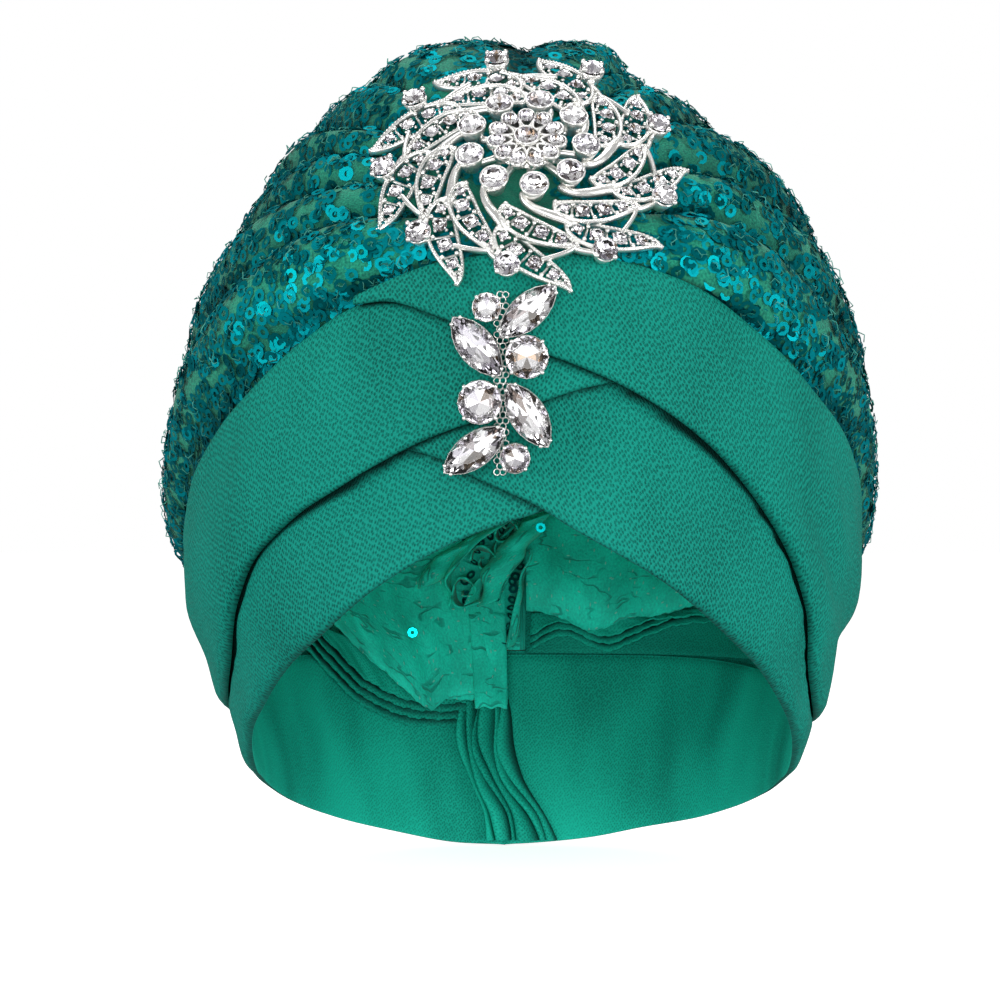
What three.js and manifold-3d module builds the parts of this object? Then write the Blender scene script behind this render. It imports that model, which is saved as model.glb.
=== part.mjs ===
// A ready-made turban cap: a gathered sequin crown, four crossed bands, a leaf brooch and a stone strip.
// Millimetres, +Z up, the wearer's face towards -Y. The origin is the middle of the head opening, level with
// the highest point of the front edge. A turn is an angle about Z: 0 at the front, 90 at +X, 180 at the back.
import * as THREE from "three";
import { mergeVertices } from "three/addons/utils/BufferGeometryUtils.js";
import Module from "manifold-3d";

const wasm = await Module();
wasm.setup();

const DEG = Math.PI / 180;
const GAP = 0.35;

// The head form that the bands lie on: half width to each side, depth to the front and to the back.
const HEAD_FORM = [
  { height: -112, halfWidth: 74, front: 92, back: 90 },
  { height: -80, halfWidth: 76.5, front: 96.5, back: 97 },
  { height: -60, halfWidth: 80.5, front: 98.5, back: 102 },
  { height: -44, halfWidth: 84, front: 99.5, back: 106 },
  { height: -27, halfWidth: 90, front: 100.5, back: 108 },
  { height: 0, halfWidth: 92, front: 101, back: 110 },
  { height: 35, halfWidth: 91, front: 100, back: 110 },
  { height: 60, halfWidth: 86, front: 96.5, back: 104 },
  { height: 80, halfWidth: 78, front: 90, back: 98 },
];
const FRONT_SQUARENESS = 0.92;
const BACK_SQUARENESS = 0.78;

// The bands run from a hidden tail, across the front, to the seam at the centre back. Lift is the distance
// from the head form to the middle of the folded cloth, at the crossing and at the side; settle is the turn
// over which one becomes the other. Low and high are the heights of the two edges.
const CROSSING_THICKNESS = 2;
const SIDE_THICKNESS = 3;
const BAND_TURN_STEP = 5.6;
const BANDS = {
  right_upper_band: {
    crossingLift: 9.15,
    sideLift: 5.5,
    settle: [17, 38],
    edges: [
      { turn: -26, low: 54.4, high: 57 },
      { turn: -19.5, low: 55, high: 61.5 },
      { turn: -12.5, low: 51.2, high: 65.4 },
      { turn: 0, low: 42.6, high: 67.9 },
      { turn: 12, low: 33.6, high: 66.4 },
      { turn: 20.5, low: 25.3, high: 63.2 },
      { turn: 30, low: 14.6, high: 57.8 },
      { turn: 38, low: 3.1, high: 50.2 },
      { turn: 47, low: -10.2, high: 40.6 },
      { turn: 53, low: -25, high: 33.6 },
      { turn: 59, low: -38, high: 27.5 },
      { turn: 66, low: -49, high: 20.5 },
      { turn: 75, low: -57, high: 11 },
      { turn: 90, low: -63, high: -7 },
      { turn: 100, low: -66, high: -20 },
      { turn: 115, low: -70, high: -33 },
      { turn: 140, low: -75, high: -41 },
      { turn: 184, low: -80, high: -45 },
    ],
  },
  left_upper_band: {
    crossingLift: 6.55,
    sideLift: 5.5,
    settle: [-24, -43],
    edges: [
      { turn: -175.7, low: -80, high: -45 },
      { turn: -140, low: -74, high: -42 },
      { turn: -115, low: -69, high: -36 },
      { turn: -100, low: -64, high: -26 },
      { turn: -90, low: -59, high: -15 },
      { turn: -78, low: -52.6, high: -1 },
      { turn: -67.5, low: -43.5, high: 12 },
      { turn: -59.3, low: -34, high: 21.3 },
      { turn: -54, low: -22.5, high: 27 },
      { turn: -49, low: -12, high: 32.3 },
      { turn: -42, low: -3.7, high: 40 },
      { turn: -36.2, low: 1.8, high: 46 },
      { turn: -28.5, low: 8, high: 53 },
      { turn: -23, low: 12.5, high: 55.4 },
      { turn: -12.9, low: 19.5, high: 54 },
      { turn: 0, low: 27, high: 50 },
      { turn: 7.5, low: 31.8, high: 46 },
      { turn: 15.5, low: 34.5, high: 41 },
    ],
  },
  right_lower_band: {
    crossingLift: 3.95,
    sideLift: 1.75,
    settle: [15.5, 34],
    edges: [
      { turn: -22, low: 17.5, high: 26 },
      { turn: -12.8, low: 14, high: 31 },
      { turn: -6.5, low: 8.4, high: 35 },
      { turn: 0, low: 2.6, high: 38 },
      { turn: 6, low: -4.6, high: 40 },
      { turn: 12, low: -10.6, high: 41 },
      { turn: 20.5, low: -18.6, high: 37 },
      { turn: 30, low: -28, high: 27 },
      { turn: 38, low: -35.6, high: 16 },
      { turn: 47, low: -43, high: 3 },
      { turn: 53, low: -48.5, high: -11 },
      { turn: 59, low: -54, high: -24 },
      { turn: 66, low: -60, high: -35 },
      { turn: 75, low: -67.5, high: -43 },
      { turn: 90, low: -78.5, high: -48 },
      { turn: 110, low: -88, high: -52 },
      { turn: 135, low: -97.5, high: -53 },
      { turn: 155, low: -103.5, high: -53.5 },
      { turn: 168, low: -107, high: -54 },
      { turn: 181.6, low: -108, high: -54 },
    ],
  },
  left_lower_band: {
    crossingLift: 1.35,
    sideLift: 1.75,
    settle: [-22, -36],
    edges: [
      { turn: -178.1, low: -108, high: -54 },
      { turn: -168, low: -107, high: -54 },
      { turn: -155, low: -103.5, high: -53.5 },
      { turn: -135, low: -97.5, high: -53 },
      { turn: -110, low: -88, high: -52 },
      { turn: -90, low: -78, high: -45 },
      { turn: -79, low: -69.5, high: -39 },
      { turn: -70, low: -62, high: -32 },
      { turn: -61, low: -55.3, high: -23 },
      { turn: -53, low: -48, high: -8 },
      { turn: -46.5, low: -42.2, high: 5 },
      { turn: -35, low: -32.8, high: 16 },
      { turn: -22, low: -19.5, high: 23 },
      { turn: -10, low: -8.7, high: 22 },
      { turn: 2, low: -0.6, high: 18 },
      { turn: 8, low: 3.5, high: 16 },
      { turn: 14, low: 7, high: 14 },
    ],
  },
};
// Across a band: place from its low edge to its high edge, and the share of the full thickness there.
const BAND_SECTION = [
  { place: 0, share: 0.35 },
  { place: 0.04, share: 0.9 },
  { place: 0.16, share: 1.06 },
  { place: 0.36, share: 1.12 },
  { place: 0.66, share: 1.1 },
  { place: 0.95, share: 0.9 },
  { place: 1, share: 0.35 },
];

// The crown is gathered on a short line at the front, under the brooch, and another at the centre back.
const CROWN_WALL = 2.2;
const CROWN_LIFT = { front: 6.2, side: 1.6, settle: [12, 28] };
const CROWN_TUCK = { front: 4, side: 8 };
const CROWN_RISE = 1.2;
const CROWN_STEPS = 20;
const FRONT_GATHER = { y: -79, z: 96 };
const BACK_GATHER = { y: 111, z: 2 };
const CROWN_MIDDLE = new THREE.Vector3(0, 15, 25);
const CROWN_HALF_WIDTH = 97;
const CROWN_REAR_PUFF = 5;
const CROWN_REAR_DROP = 7;
const CROWN_TOP_SWELL = 67;
const CROWN_LEAN = 36;
// The folds, from the left edge over the top to the right edge. From and to are their two valleys, as angles
// about the line from front to back, and rows is how many rows of facets each fold gets.
const CROWN_FOLDS = [
  { from: -98, to: -64, height: 4.5, rows: 6 },
  { from: -64, to: -56, height: 4.5, rows: 4 },
  { from: -56, to: -48, height: 6, rows: 4 },
  { from: -48, to: -31, height: 7, rows: 5 },
  { from: -31, to: 0, height: 10.5, rows: 6 },
  { from: 0, to: 21.5, height: 9, rows: 5 },
  { from: 21.5, to: 26, height: 4, rows: 3 },
  { from: 26, to: 40, height: 7.5, rows: 4 },
  { from: 40, to: 64, height: 5, rows: 5 },
  { from: 64, to: 77, height: 7.5, rows: 3 },
  { from: 77, to: 98, height: 4.5, rows: 5 },
];

// The seam allowances that hang inside at the back. Top and bottom are the heights of the edges, lift is the
// distance inside the head form at the two edges, wave is the height of the ruffles along the bottom edge.
const SEAM_CLOTH = 1;
const WALL_CURVE = 0.012;
const SEAM_FLAPS = {
  left_crown_flap: {
    lift: [-2.6, -5],
    wave: { height: 1.2, turns: 9 },
    edges: [
      { turn: -178.5, top: -36, bottom: -63 },
      { turn: -160, top: -36, bottom: -62 },
      { turn: -156, top: -36, bottom: -64 },
      { turn: -148, top: -36, bottom: -56 },
      { turn: -139, top: -34, bottom: -43 },
      { turn: -132, top: -30, bottom: -34 },
    ],
  },
  left_band_flap: {
    lift: [-1.1, -1.1],
    wave: { height: 0, turns: 9 },
    edges: [
      { turn: -166, top: -44, bottom: -70 },
      { turn: -158, top: -44, bottom: -70 },
      { turn: -147, top: -42, bottom: -66 },
      { turn: -131, top: -38, bottom: -50 },
      { turn: -125, top: -36, bottom: -42 },
    ],
  },
  right_crown_flap: {
    lift: [-2.6, -6],
    wave: { height: 2.2, turns: 14 },
    edges: [
      { turn: 122, top: -20, bottom: -26 },
      { turn: 140, top: -20, bottom: -33 },
      { turn: 150, top: -20, bottom: -35 },
      { turn: 160, top: -20, bottom: -40 },
      { turn: 168, top: -20, bottom: -36 },
      { turn: 174, top: -20, bottom: -34 },
    ],
  },
  right_band_flap: {
    lift: [-1.4, -1.8],
    wave: { height: 1.6, turns: 14 },
    edges: [
      { turn: 118, top: -28, bottom: -32 },
      { turn: 136, top: -31, bottom: -41 },
      { turn: 148, top: -34, bottom: -43 },
      { turn: 160, top: -34, bottom: -48 },
      { turn: 168, top: -34, bottom: -44 },
      { turn: 177, top: -34, bottom: -46 },
    ],
  },
};
// The two bunches of pleats on the centre back seam: where each runs, how wide and how deep its pleats are.
const SEAM_PLEATS = {
  crown_gather: {
    from: { x: 4, height: 2 },
    to: { x: -12, height: -31 },
    width: 19,
    depth: [3.5, 9.5],
    sway: 2,
    pleats: 2,
  },
  back_seam_pleats: {
    from: { x: -8, height: -66 },
    to: { x: 2, height: -106 },
    width: 23,
    depth: [1.6, 7],
    sway: 2.5,
    pleats: 2.5,
  },
};

// The brooch leans back against the crown. It is a low dome of nine equal sprays, each a swirling stem with
// a long and a short leaf, an inner and an outer stone, round a flower of stones. Radii are from its middle;
// turns are counted from the tip of the long leaf.
const BROOCH_CENTRE = { x: 0.6, y: -84, z: 90.5 };
const BROOCH_LEAN = 38.6;
const BROOCH_RADIUS = 44;
const BROOCH_DOME = 9.5;
const BROOCH_BEND = 3;
const SPRAYS = 9;
const FIRST_SPRAY = 5;
const METAL = 1.5;
const LEAVES = [
  { fromRadius: 25, fromTurn: -30, toRadius: 44, toTurn: 0, width: 8 },
  { fromRadius: 19, fromTurn: -32, toRadius: 33.8, toTurn: 9, width: 7.2 },
];
const LEAF_OUTLINE = [
  { place: 0, share: 0.26 },
  { place: 0.24, share: 0.8 },
  { place: 0.5, share: 1 },
  { place: 0.8, share: 0.55 },
  { place: 1, share: 0.08 },
];
const STEMS = [
  { fromRadius: 15, fromTurn: -48, toRadius: 26.5, toTurn: -28, width: 2.2 },
  { fromRadius: 7, fromTurn: -8, toRadius: 15, toTurn: -8, width: 1.8 },
  { fromRadius: 32.5, fromTurn: 7, toRadius: 37.4, toTurn: 17, width: 1.6 },
  { fromRadius: 35, fromTurn: -9, toRadius: 33, toTurn: 7, width: 1.3 },
];
const STEM_OUTLINE = [
  { place: 0, share: 1 },
  { place: 1, share: 0.9 },
];
const INNER_STONE = { radius: 15.3, turn: -8, diameter: 7.2, cup: 1.8 };
const OUTER_STONE = { radius: 37.4, turn: 17, diameter: 6.8, cup: 1.8 };
const FLOWER = { discRadius: 9.6, rise: 3, petals: 11, petalRadius: 7.9, petal: 4.4, centre: 6.2 };
const BROOCH_PIN = { length: 34, diameter: 1.4, height: 4.6 };

// The stone strip hangs under the brooch. Places are across and up from its middle; a long stone's lean is
// the angle of its length from the horizontal.
const STRIP_CENTRE = { x: -6.5, y: -108.9, z: 33.5 };
const STRIP_LEAN = -3.5;
const STRIP_PLATE = { width: 17, length: 41, corner: 4, thickness: 0.8 };
const STRIP_STONES = {
  strip_small_stone_top: { x: -3.5, z: 19.6, length: 7.4, width: 7.4, lean: 0 },
  strip_long_stone_1: { x: 7.3, z: 18.6, length: 20, width: 9, lean: 42 },
  strip_long_stone_2: { x: -6.1, z: 9.4, length: 20, width: 9.6, lean: -51 },
  strip_round_stone_1: { x: 7, z: 6.7, length: 11.4, width: 11.4, lean: 0 },
  strip_round_stone_2: { x: -5.3, z: -5.1, length: 11.6, width: 11.6, lean: 0 },
  strip_long_stone_3: { x: 7.3, z: -8.5, length: 20, width: 9.6, lean: -58 },
  strip_long_stone_4: { x: -6.7, z: -17.7, length: 20, width: 9, lean: 36 },
  strip_small_stone_bottom: { x: 3.9, z: -19.8, length: 7.8, width: 7.8, lean: 0 },
};
const STRIP_CUP = 1.4;
// A cut stone from back to front: height as a share of its width, and the share of its outline there.
const STONE_CUT = [
  { height: 0, share: 0.5 },
  { height: 0.3, share: 1 },
  { height: 0.52, share: 0.62 },
];

const clamp01 = (t) => Math.min(1, Math.max(0, t));
const mix = (a, b, t) => a + (b - a) * t;
function smooth(low, high, x) {
  const t = clamp01((x - low) / (high - low));
  return t * t * (3 - 2 * t);
}

// A smooth curve through one column of a table, read at x along its key column.
function read(rows, key, x, column) {
  let i = rows.findIndex((row) => row[key] > x) - 1;
  if (x <= rows[0][key]) i = 0;
  if (i < 0) i = rows.length - 2;
  const slope = (k) => {
    const before = rows[Math.max(k - 1, 0)];
    const after = rows[Math.min(k + 1, rows.length - 1)];
    return (after[column] - before[column]) / (after[key] - before[key]);
  };
  const [a, b] = [rows[i], rows[i + 1]];
  const span = b[key] - a[key];
  const t = clamp01((x - a[key]) / span);
  const leave = t * (1 - t) * (1 - t) * slope(i) * span;
  const arrive = t * t * (t - 1) * slope(i + 1) * span;
  return mix(a[column], b[column], t * t * (3 - 2 * t)) + leave + arrive;
}

// A point on the head form, pushed out by lift.
function formPoint(turn, height, lift) {
  const c = Math.cos(turn * DEG);
  const squareness = c > 0 ? FRONT_SQUARENESS : BACK_SQUARENESS;
  const square = (v) => Math.sign(v) * Math.abs(v) ** squareness;
  const halfWidth = read(HEAD_FORM, "height", height, "halfWidth") + lift;
  const depth = read(HEAD_FORM, "height", height, c > 0 ? "front" : "back") + lift;
  return new THREE.Vector3(halfWidth * square(Math.sin(turn * DEG)), -depth * square(c), height);
}

// A geometry from points and triangles, each triangle three indices counter-clockwise from outside.
function geometryOf(points, triangles) {
  const geometry = new THREE.BufferGeometry().setFromPoints(points);
  geometry.setIndex(triangles.flat());
  return geometry;
}

const quad = (a, b, c, d) => [[a, b, c], [a, c, d]];

// A closed solid along a row of sections, each the points of one face, then those of the other face reversed.
function sweepGeometry(sections) {
  const ring = sections[0].length;
  const last = (sections.length - 1) * ring;
  const triangles = [];
  for (let start = 0; start < last; start += ring)
    for (let k = 0; k < ring; k++) {
      const next = (k + 1) % ring;
      triangles.push(...quad(start + k, start + ring + k, start + ring + next, start + next));
    }
  for (let k = 0; k < ring / 2 - 1; k++) {
    const rung = [k, k + 1, ring - 2 - k, ring - 1 - k];
    triangles.push(...quad(...rung));
    triangles.push(...quad(...rung.map((corner) => last + corner).reverse()));
  }
  return geometryOf(sections.flat(), triangles);
}

// A closed wall from an open sheet: the sheet moved out and in by half the thickness, joined along its edge.
function wallGeometry({ points, triangles }, thickness) {
  const normals = points.map(() => new THREE.Vector3());
  for (const [a, b, c] of triangles) {
    const across = points[b].clone().sub(points[a]).cross(points[c].clone().sub(points[a]));
    for (const corner of [a, b, c]) normals[corner].add(across);
  }
  const moved = (amount) => points.map((p, i) => p.clone().addScaledVector(normals[i].normalize(), amount));
  const all = [...moved(thickness / 2), ...moved(-thickness / 2)];
  const n = points.length;
  const closed = [...triangles, ...triangles.map(([a, b, c]) => [a + n, c + n, b + n])];
  const edges = new Set(triangles.flatMap(([a, b, c]) => [`${a} ${b}`, `${b} ${c}`, `${c} ${a}`]));
  for (const edge of edges) {
    const [a, b] = edge.split(" ").map(Number);
    if (!edges.has(`${b} ${a}`)) closed.push(...quad(b, a, a + n, b + n));
  }
  return geometryOf(all, closed);
}

// An open sheet of rows by columns, place(row share, column share) giving each point.
function sheetOf(rows, columns, place) {
  const points = [];
  const triangles = [];
  for (let i = 0; i <= rows; i++)
    for (let j = 0; j <= columns; j++) points.push(place(i / rows, j / columns));
  const index = (i, j) => i * (columns + 1) + j;
  for (let i = 0; i < rows; i++)
    for (let j = 0; j < columns; j++)
      triangles.push(...quad(index(i, j), index(i + 1, j), index(i + 1, j + 1), index(i, j + 1)));
  return { points, triangles };
}

function bandGeometry({ crossingLift, sideLift, settle, edges }) {
  const [first, last] = [edges[0].turn, edges[edges.length - 1].turn];
  const steps = Math.round((last - first) / BAND_TURN_STEP);
  const sections = [];
  for (let i = 0; i <= steps; i++) {
    const turn = mix(first, last, i / steps);
    const low = read(edges, "turn", turn, "low");
    const high = read(edges, "turn", turn, "high");
    const settled = smooth(settle[0], settle[1], turn);
    const lift = mix(crossingLift, sideLift, settled);
    const half = mix(CROSSING_THICKNESS, SIDE_THICKNESS, settled) / 2;
    const face = (way) =>
      BAND_SECTION.map((row) => formPoint(turn, mix(low, high, row.place), lift + way * row.share * half));
    sections.push([...face(1), ...face(-1).reverse()]);
  }
  return sweepGeometry(sections);
}

// The height of the line where the bands cover the crown's lower edge.
function bandTop(turn) {
  const right = BANDS.right_upper_band.edges;
  const left = BANDS.left_upper_band.edges;
  return read(turn < right[0].turn ? left : right, "turn", turn, "high");
}

// How far the cloth stands out at a fold angle: each fold is a roll that leans towards the nearer edge.
function foldHeight(angle) {
  const fold = CROWN_FOLDS.find((f) => angle >= f.from && angle <= f.to);
  const t = (angle - fold.from) / (fold.to - fold.from);
  const leaning = angle < 0 ? 1 - (1 - t) ** 1.3 : t ** 1.3;
  return fold.height * Math.max(0, Math.sin(Math.PI * leaning)) ** 0.65;
}

// The crown without its folds: an arc from the front gather, out over the head, to the back gather.
function domePoint(angle, along, start, end) {
  const side = Math.sin(angle * DEG);
  const up = Math.cos(angle * DEG);
  const halfWidth = CROWN_HALF_WIDTH + CROWN_REAR_PUFF * smooth(0.4, 0.62, along);
  const swell = new THREE.Vector3(halfWidth * side, CROWN_LEAN * up, CROWN_TOP_SWELL * up);
  swell.multiplyScalar(Math.sin(Math.PI * along) ** mix(0.95, 0.85, side * side));
  swell.z -= CROWN_REAR_DROP * side ** 4 * smooth(0.4, 0.55, along) * smooth(0.72, 0.58, along);
  const middle = start.clone().lerp(end, 0.5);
  const reach = end.clone().sub(middle);
  return middle.addScaledVector(reach, -Math.cos(Math.PI * along)).add(swell);
}

// The rows of the crown's cloth, left edge to right edge: two tucked under the bands, the folds, two tucked.
function crownRows() {
  const angles = [CROWN_FOLDS[0].from];
  for (const fold of CROWN_FOLDS)
    for (let k = 1; k <= fold.rows; k++) angles.push(mix(fold.from, fold.to, k / fold.rows));
  const topRow = (angles.length - 1) / 2;
  const highStart = new THREE.Vector3(0, FRONT_GATHER.y, FRONT_GATHER.z);
  const highEnd = new THREE.Vector3(0, BACK_GATHER.y, BACK_GATHER.z);
  const tucked = (side, share) => (along) => {
    const turn = side * 180 * along;
    const settled = smooth(CROWN_LIFT.settle[0], CROWN_LIFT.settle[1], Math.abs(turn));
    const drop = share * mix(CROWN_TUCK.front, CROWN_TUCK.side, settled);
    const lift = mix(CROWN_LIFT.front, CROWN_LIFT.side, settled);
    return formPoint(turn, bandTop(turn) + CROWN_RISE - drop, lift);
  };
  const lowStart = tucked(1, 0)(0);
  const lowEnd = tucked(1, 0)(1);
  const folded = angles.map((angle, i) => (along) => {
    const share = 1 - Math.abs(i - topRow) / (topRow + 1);
    const start = lowStart.clone().lerp(highStart, share);
    const end = lowEnd.clone().lerp(highEnd, share);
    const point = domePoint(angle, along, start, end);
    const outward = point.clone().sub(CROWN_MIDDLE).normalize();
    const frontFade = mix(0.36, 0.2, Math.sin(angle * DEG) ** 2);
    const gathered = smooth(0.03, frontFade, along) * smooth(1, 0.8, along);
    return point.addScaledVector(outward, gathered * foldHeight(angle));
  });
  return [tucked(-1, 1), tucked(-1, 0), ...folded, tucked(1, 0), tucked(1, 1)];
}

// The crown's cloth: every row runs from the front gather to the back one, where left and right rows meet.
function crownSheet() {
  const rows = crownRows();
  const points = [];
  const triangles = [];
  const columns = CROWN_STEPS + 1;
  for (const row of rows)
    for (let j = 0; j < columns; j++) points.push(row(j / CROWN_STEPS));
  const index = (i, j) => {
    const gathered = j === 0 || j === CROWN_STEPS;
    return (gathered ? Math.min(i, rows.length - 1 - i) : i) * columns + j;
  };
  for (let i = 0; i < rows.length - 1; i++)
    for (let j = 0; j < CROWN_STEPS; j++)
      triangles.push(...quad(index(i, j), index(i, j + 1), index(i + 1, j + 1), index(i + 1, j)));
  const whole = triangles.filter(([a, b, c]) => a !== b && b !== c && a !== c);
  return { points, triangles: whole };
}

function flapGeometry({ lift, wave, edges }) {
  const [first, last] = [edges[0].turn, edges[edges.length - 1].turn];
  const sheet = sheetOf(12, 3, (along, down) => {
    const turn = mix(first, last, along);
    const top = read(edges, "turn", turn, "top");
    const bottom = read(edges, "turn", turn, "bottom");
    const ruffle = wave.height * down * (1 + Math.cos(turn * DEG * wave.turns));
    return formPoint(turn, mix(top, bottom, down), mix(lift[0], lift[1], down) - ruffle);
  });
  return wallGeometry(sheet, SEAM_CLOTH);
}

function pleatGeometry({ from, to, width, depth, sway, pleats }) {
  const sheet = sheetOf(6 * pleats, 6, (across, down) => {
    const height = mix(from.height, to.height, down);
    const swing = sway * Math.sin(2 * Math.PI * down + across);
    const x = mix(from.x, to.x, down) + width * (across - 0.5) + swing;
    const inward = mix(depth[0], depth[1], 0.5 - 0.5 * Math.cos(2 * Math.PI * pleats * across));
    return new THREE.Vector3(x, formPoint(180, height, 0).y - inward - x * x * WALL_CURVE, height);
  });
  return wallGeometry(sheet, SEAM_CLOTH);
}

// Solids joined into one.
function joined(geometries) {
  const solids = geometries.map((geometry) => {
    const plain = geometry.clone();
    plain.deleteAttribute("normal");
    plain.deleteAttribute("uv");
    const welded = mergeVertices(plain, 1e-4);
    const vertProperties = Float32Array.from(welded.attributes.position.array);
    const triVerts = Uint32Array.from(welded.index.array);
    return new wasm.Manifold(new wasm.Mesh({ numProp: 3, vertProperties, triVerts }));
  });
  const mesh = solids.reduce((whole, solid) => whole.add(solid)).getMesh();
  const geometry = new THREE.BufferGeometry();
  geometry.setAttribute("position", new THREE.Float32BufferAttribute(mesh.vertProperties, 3));
  geometry.setIndex([...mesh.triVerts]);
  return geometry;
}

// A flat-fronted solid from an outline repeated at several heights, such as a cup or a cut stone.
function stackedGeometry(outline, levels) {
  const n = outline.length;
  const points = levels.flatMap(({ height, share }) =>
    outline.map(([x, y]) => new THREE.Vector3(x * share, y * share, height)),
  );
  const triangles = [];
  for (let level = 0; level < levels.length - 1; level++)
    for (let k = 0; k < n; k++) {
      const next = (k + 1) % n;
      const start = level * n;
      triangles.push(...quad(start + k, start + next, start + n + next, start + n + k));
    }
  const front = (levels.length - 1) * n;
  for (let k = 1; k < n - 1; k++) {
    triangles.push([0, k + 1, k]);
    triangles.push([front, front + k, front + k + 1]);
  }
  return geometryOf(points, triangles);
}

function roundOutline(diameter, sides) {
  const turns = Array.from({ length: sides }, (_, k) => (2 * Math.PI * k) / sides);
  return turns.map((t) => [(diameter / 2) * Math.cos(t), (diameter / 2) * Math.sin(t)]);
}

// The pointed oval of a long stone: two arcs that meet at its tips.
function longOutline(length, width) {
  const bulge = (t) => (width / 2) * Math.sin(Math.PI * t) ** 0.9;
  const half = [0, 0.22, 0.5, 0.78, 1].map((t) => [length * (t - 0.5), -bulge(t)]);
  return [...half, ...half.slice(1, -1).reverse().map(([x, y]) => [x, -y])];
}

function stoneGeometry(length, width, sides) {
  const outline = length > width ? longOutline(length, width) : roundOutline(width, sides);
  return stackedGeometry(outline, STONE_CUT.map(({ height, share }) => ({ height: height * width, share })));
}

function cupGeometry(length, width, sides, height) {
  const outline = length > width ? longOutline(length, width) : roundOutline(width, sides);
  return stackedGeometry(outline, [{ height: -METAL, share: 0.55 }, { height, share: 0.86 }]);
}

// The brooch's own frame: x to the right, y up its slope, z out of its face.
const broochFrame = new THREE.Matrix4()
  .makeTranslation(BROOCH_CENTRE.x, BROOCH_CENTRE.y, BROOCH_CENTRE.z)
  .multiply(new THREE.Matrix4().makeRotationX((90 - BROOCH_LEAN) * DEG));

function domeHeight(x, y) {
  const r = Math.hypot(x, y) / BROOCH_RADIUS;
  return BROOCH_DOME * (1 - r * r) - BROOCH_BEND * (x / BROOCH_RADIUS) ** 2;
}

function broochPoint(radius, turn, rise) {
  const x = radius * Math.cos(turn * DEG);
  const y = radius * Math.sin(turn * DEG);
  return new THREE.Vector3(x, y, domeHeight(x, y) + rise);
}

// A leaf, stem or tie: a flat strip of metal that swirls outwards over the dome.
function swirlGeometry(row, outline, spray) {
  const middle = (t) => {
    const turn = spray + mix(row.fromTurn, row.toTurn, t ** 1.15);
    return broochPoint(mix(row.fromRadius, row.toRadius, t), turn, 0);
  };
  const sections = outline.map(({ place, share }) => {
    const ahead = middle(place + 0.01).sub(middle(place - 0.01 * (place > 0)));
    const across = new THREE.Vector3(ahead.y, -ahead.x, 0).setLength((row.width * share) / 2);
    const right = middle(place).add(across);
    const left = middle(place).sub(across);
    const back = new THREE.Vector3(0, 0, METAL);
    return [right, left, left.clone().sub(back), right.clone().sub(back)];
  });
  return sweepGeometry(sections);
}

// A piece set on the brooch's dome at a radius and turn, its own z along the dome's outward direction.
function setOnBrooch(geometry, radius, turn, rise) {
  const place = broochPoint(radius, turn, 0);
  const slope = (2 * BROOCH_DOME) / BROOCH_RADIUS ** 2;
  const outward = new THREE.Vector3(slope * place.x, slope * place.y, 1).normalize();
  const lean = new THREE.Quaternion().setFromUnitVectors(new THREE.Vector3(0, 0, 1), outward);
  place.addScaledVector(outward, rise);
  const matrix = new THREE.Matrix4().compose(place, lean, new THREE.Vector3(1, 1, 1));
  return geometry.applyMatrix4(matrix);
}

const sprays = Array.from({ length: SPRAYS }, (_, k) => FIRST_SPRAY + (360 / SPRAYS) * k);
const petals = Array.from({ length: FLOWER.petals }, (_, k) => 90 + (360 / FLOWER.petals) * k);

function broochGeometry() {
  const pieces = [];
  for (const spray of sprays) {
    for (const leaf of LEAVES) pieces.push(swirlGeometry(leaf, LEAF_OUTLINE, spray));
    for (const stem of STEMS) pieces.push(swirlGeometry(stem, STEM_OUTLINE, spray));
    for (const stone of [INNER_STONE, OUTER_STONE]) {
      const cup = cupGeometry(stone.diameter, stone.diameter, 6, stone.cup);
      pieces.push(setOnBrooch(cup, stone.radius, spray + stone.turn, 0));
    }
  }
  const disc = stackedGeometry(roundOutline(2 * FLOWER.discRadius, 18), [
    { height: -METAL, share: 1.2 },
    { height: FLOWER.rise, share: 1 },
  ]);
  pieces.push(setOnBrooch(disc, 0, 0, 0));
  return joined(pieces).applyMatrix4(broochFrame);
}

// The strip's own frame: x to the right, y up, z towards the viewer.
const stripFrame = new THREE.Matrix4()
  .makeTranslation(STRIP_CENTRE.x, STRIP_CENTRE.y, STRIP_CENTRE.z)
  .multiply(new THREE.Matrix4().makeRotationX((90 - STRIP_LEAN) * DEG));

function setOnStrip(geometry, stone, rise) {
  geometry.applyMatrix4(new THREE.Matrix4().makeRotationZ(stone.lean * DEG));
  geometry.applyMatrix4(new THREE.Matrix4().makeTranslation(stone.x, stone.z, rise));
  return geometry.applyMatrix4(stripFrame);
}

function stripGeometry() {
  const { width, length, corner, thickness } = STRIP_PLATE;
  const [w, l] = [width / 2, length / 2];
  const outline = [[-w + corner, -l], [w - corner, -l], [w, -l + corner], [w, l - corner]];
  const whole = [...outline, ...outline.map(([x, y]) => [-x, -y])];
  const plate = stackedGeometry(whole, [{ height: 0, share: 1 }, { height: thickness, share: 1 }]);
  const cups = Object.values(STRIP_STONES).map((stone) =>
    setOnStrip(cupGeometry(stone.length, stone.width, 8, STRIP_CUP), stone, METAL),
  );
  return joined([plate.applyMatrix4(stripFrame), ...cups]);
}

const cloth = (color, roughness) => new THREE.MeshStandardMaterial({ color, roughness, metalness: 0 });
const CREPE = cloth(0x0f8f76, 0.75);
const SEQUIN_CLOTH = cloth(0x0b6f66, 0.5);
const SILVER = new THREE.MeshStandardMaterial({ color: 0xd8d8d4, roughness: 0.22, metalness: 1 });
const CRYSTAL = new THREE.MeshStandardMaterial({ color: 0xe9eef2, roughness: 0.05, metalness: 0 });

const cap = new THREE.Group();
function addPiece(name, geometry, material) {
  const mesh = new THREE.Mesh(geometry, material);
  mesh.name = name;
  cap.add(mesh);
}

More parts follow.
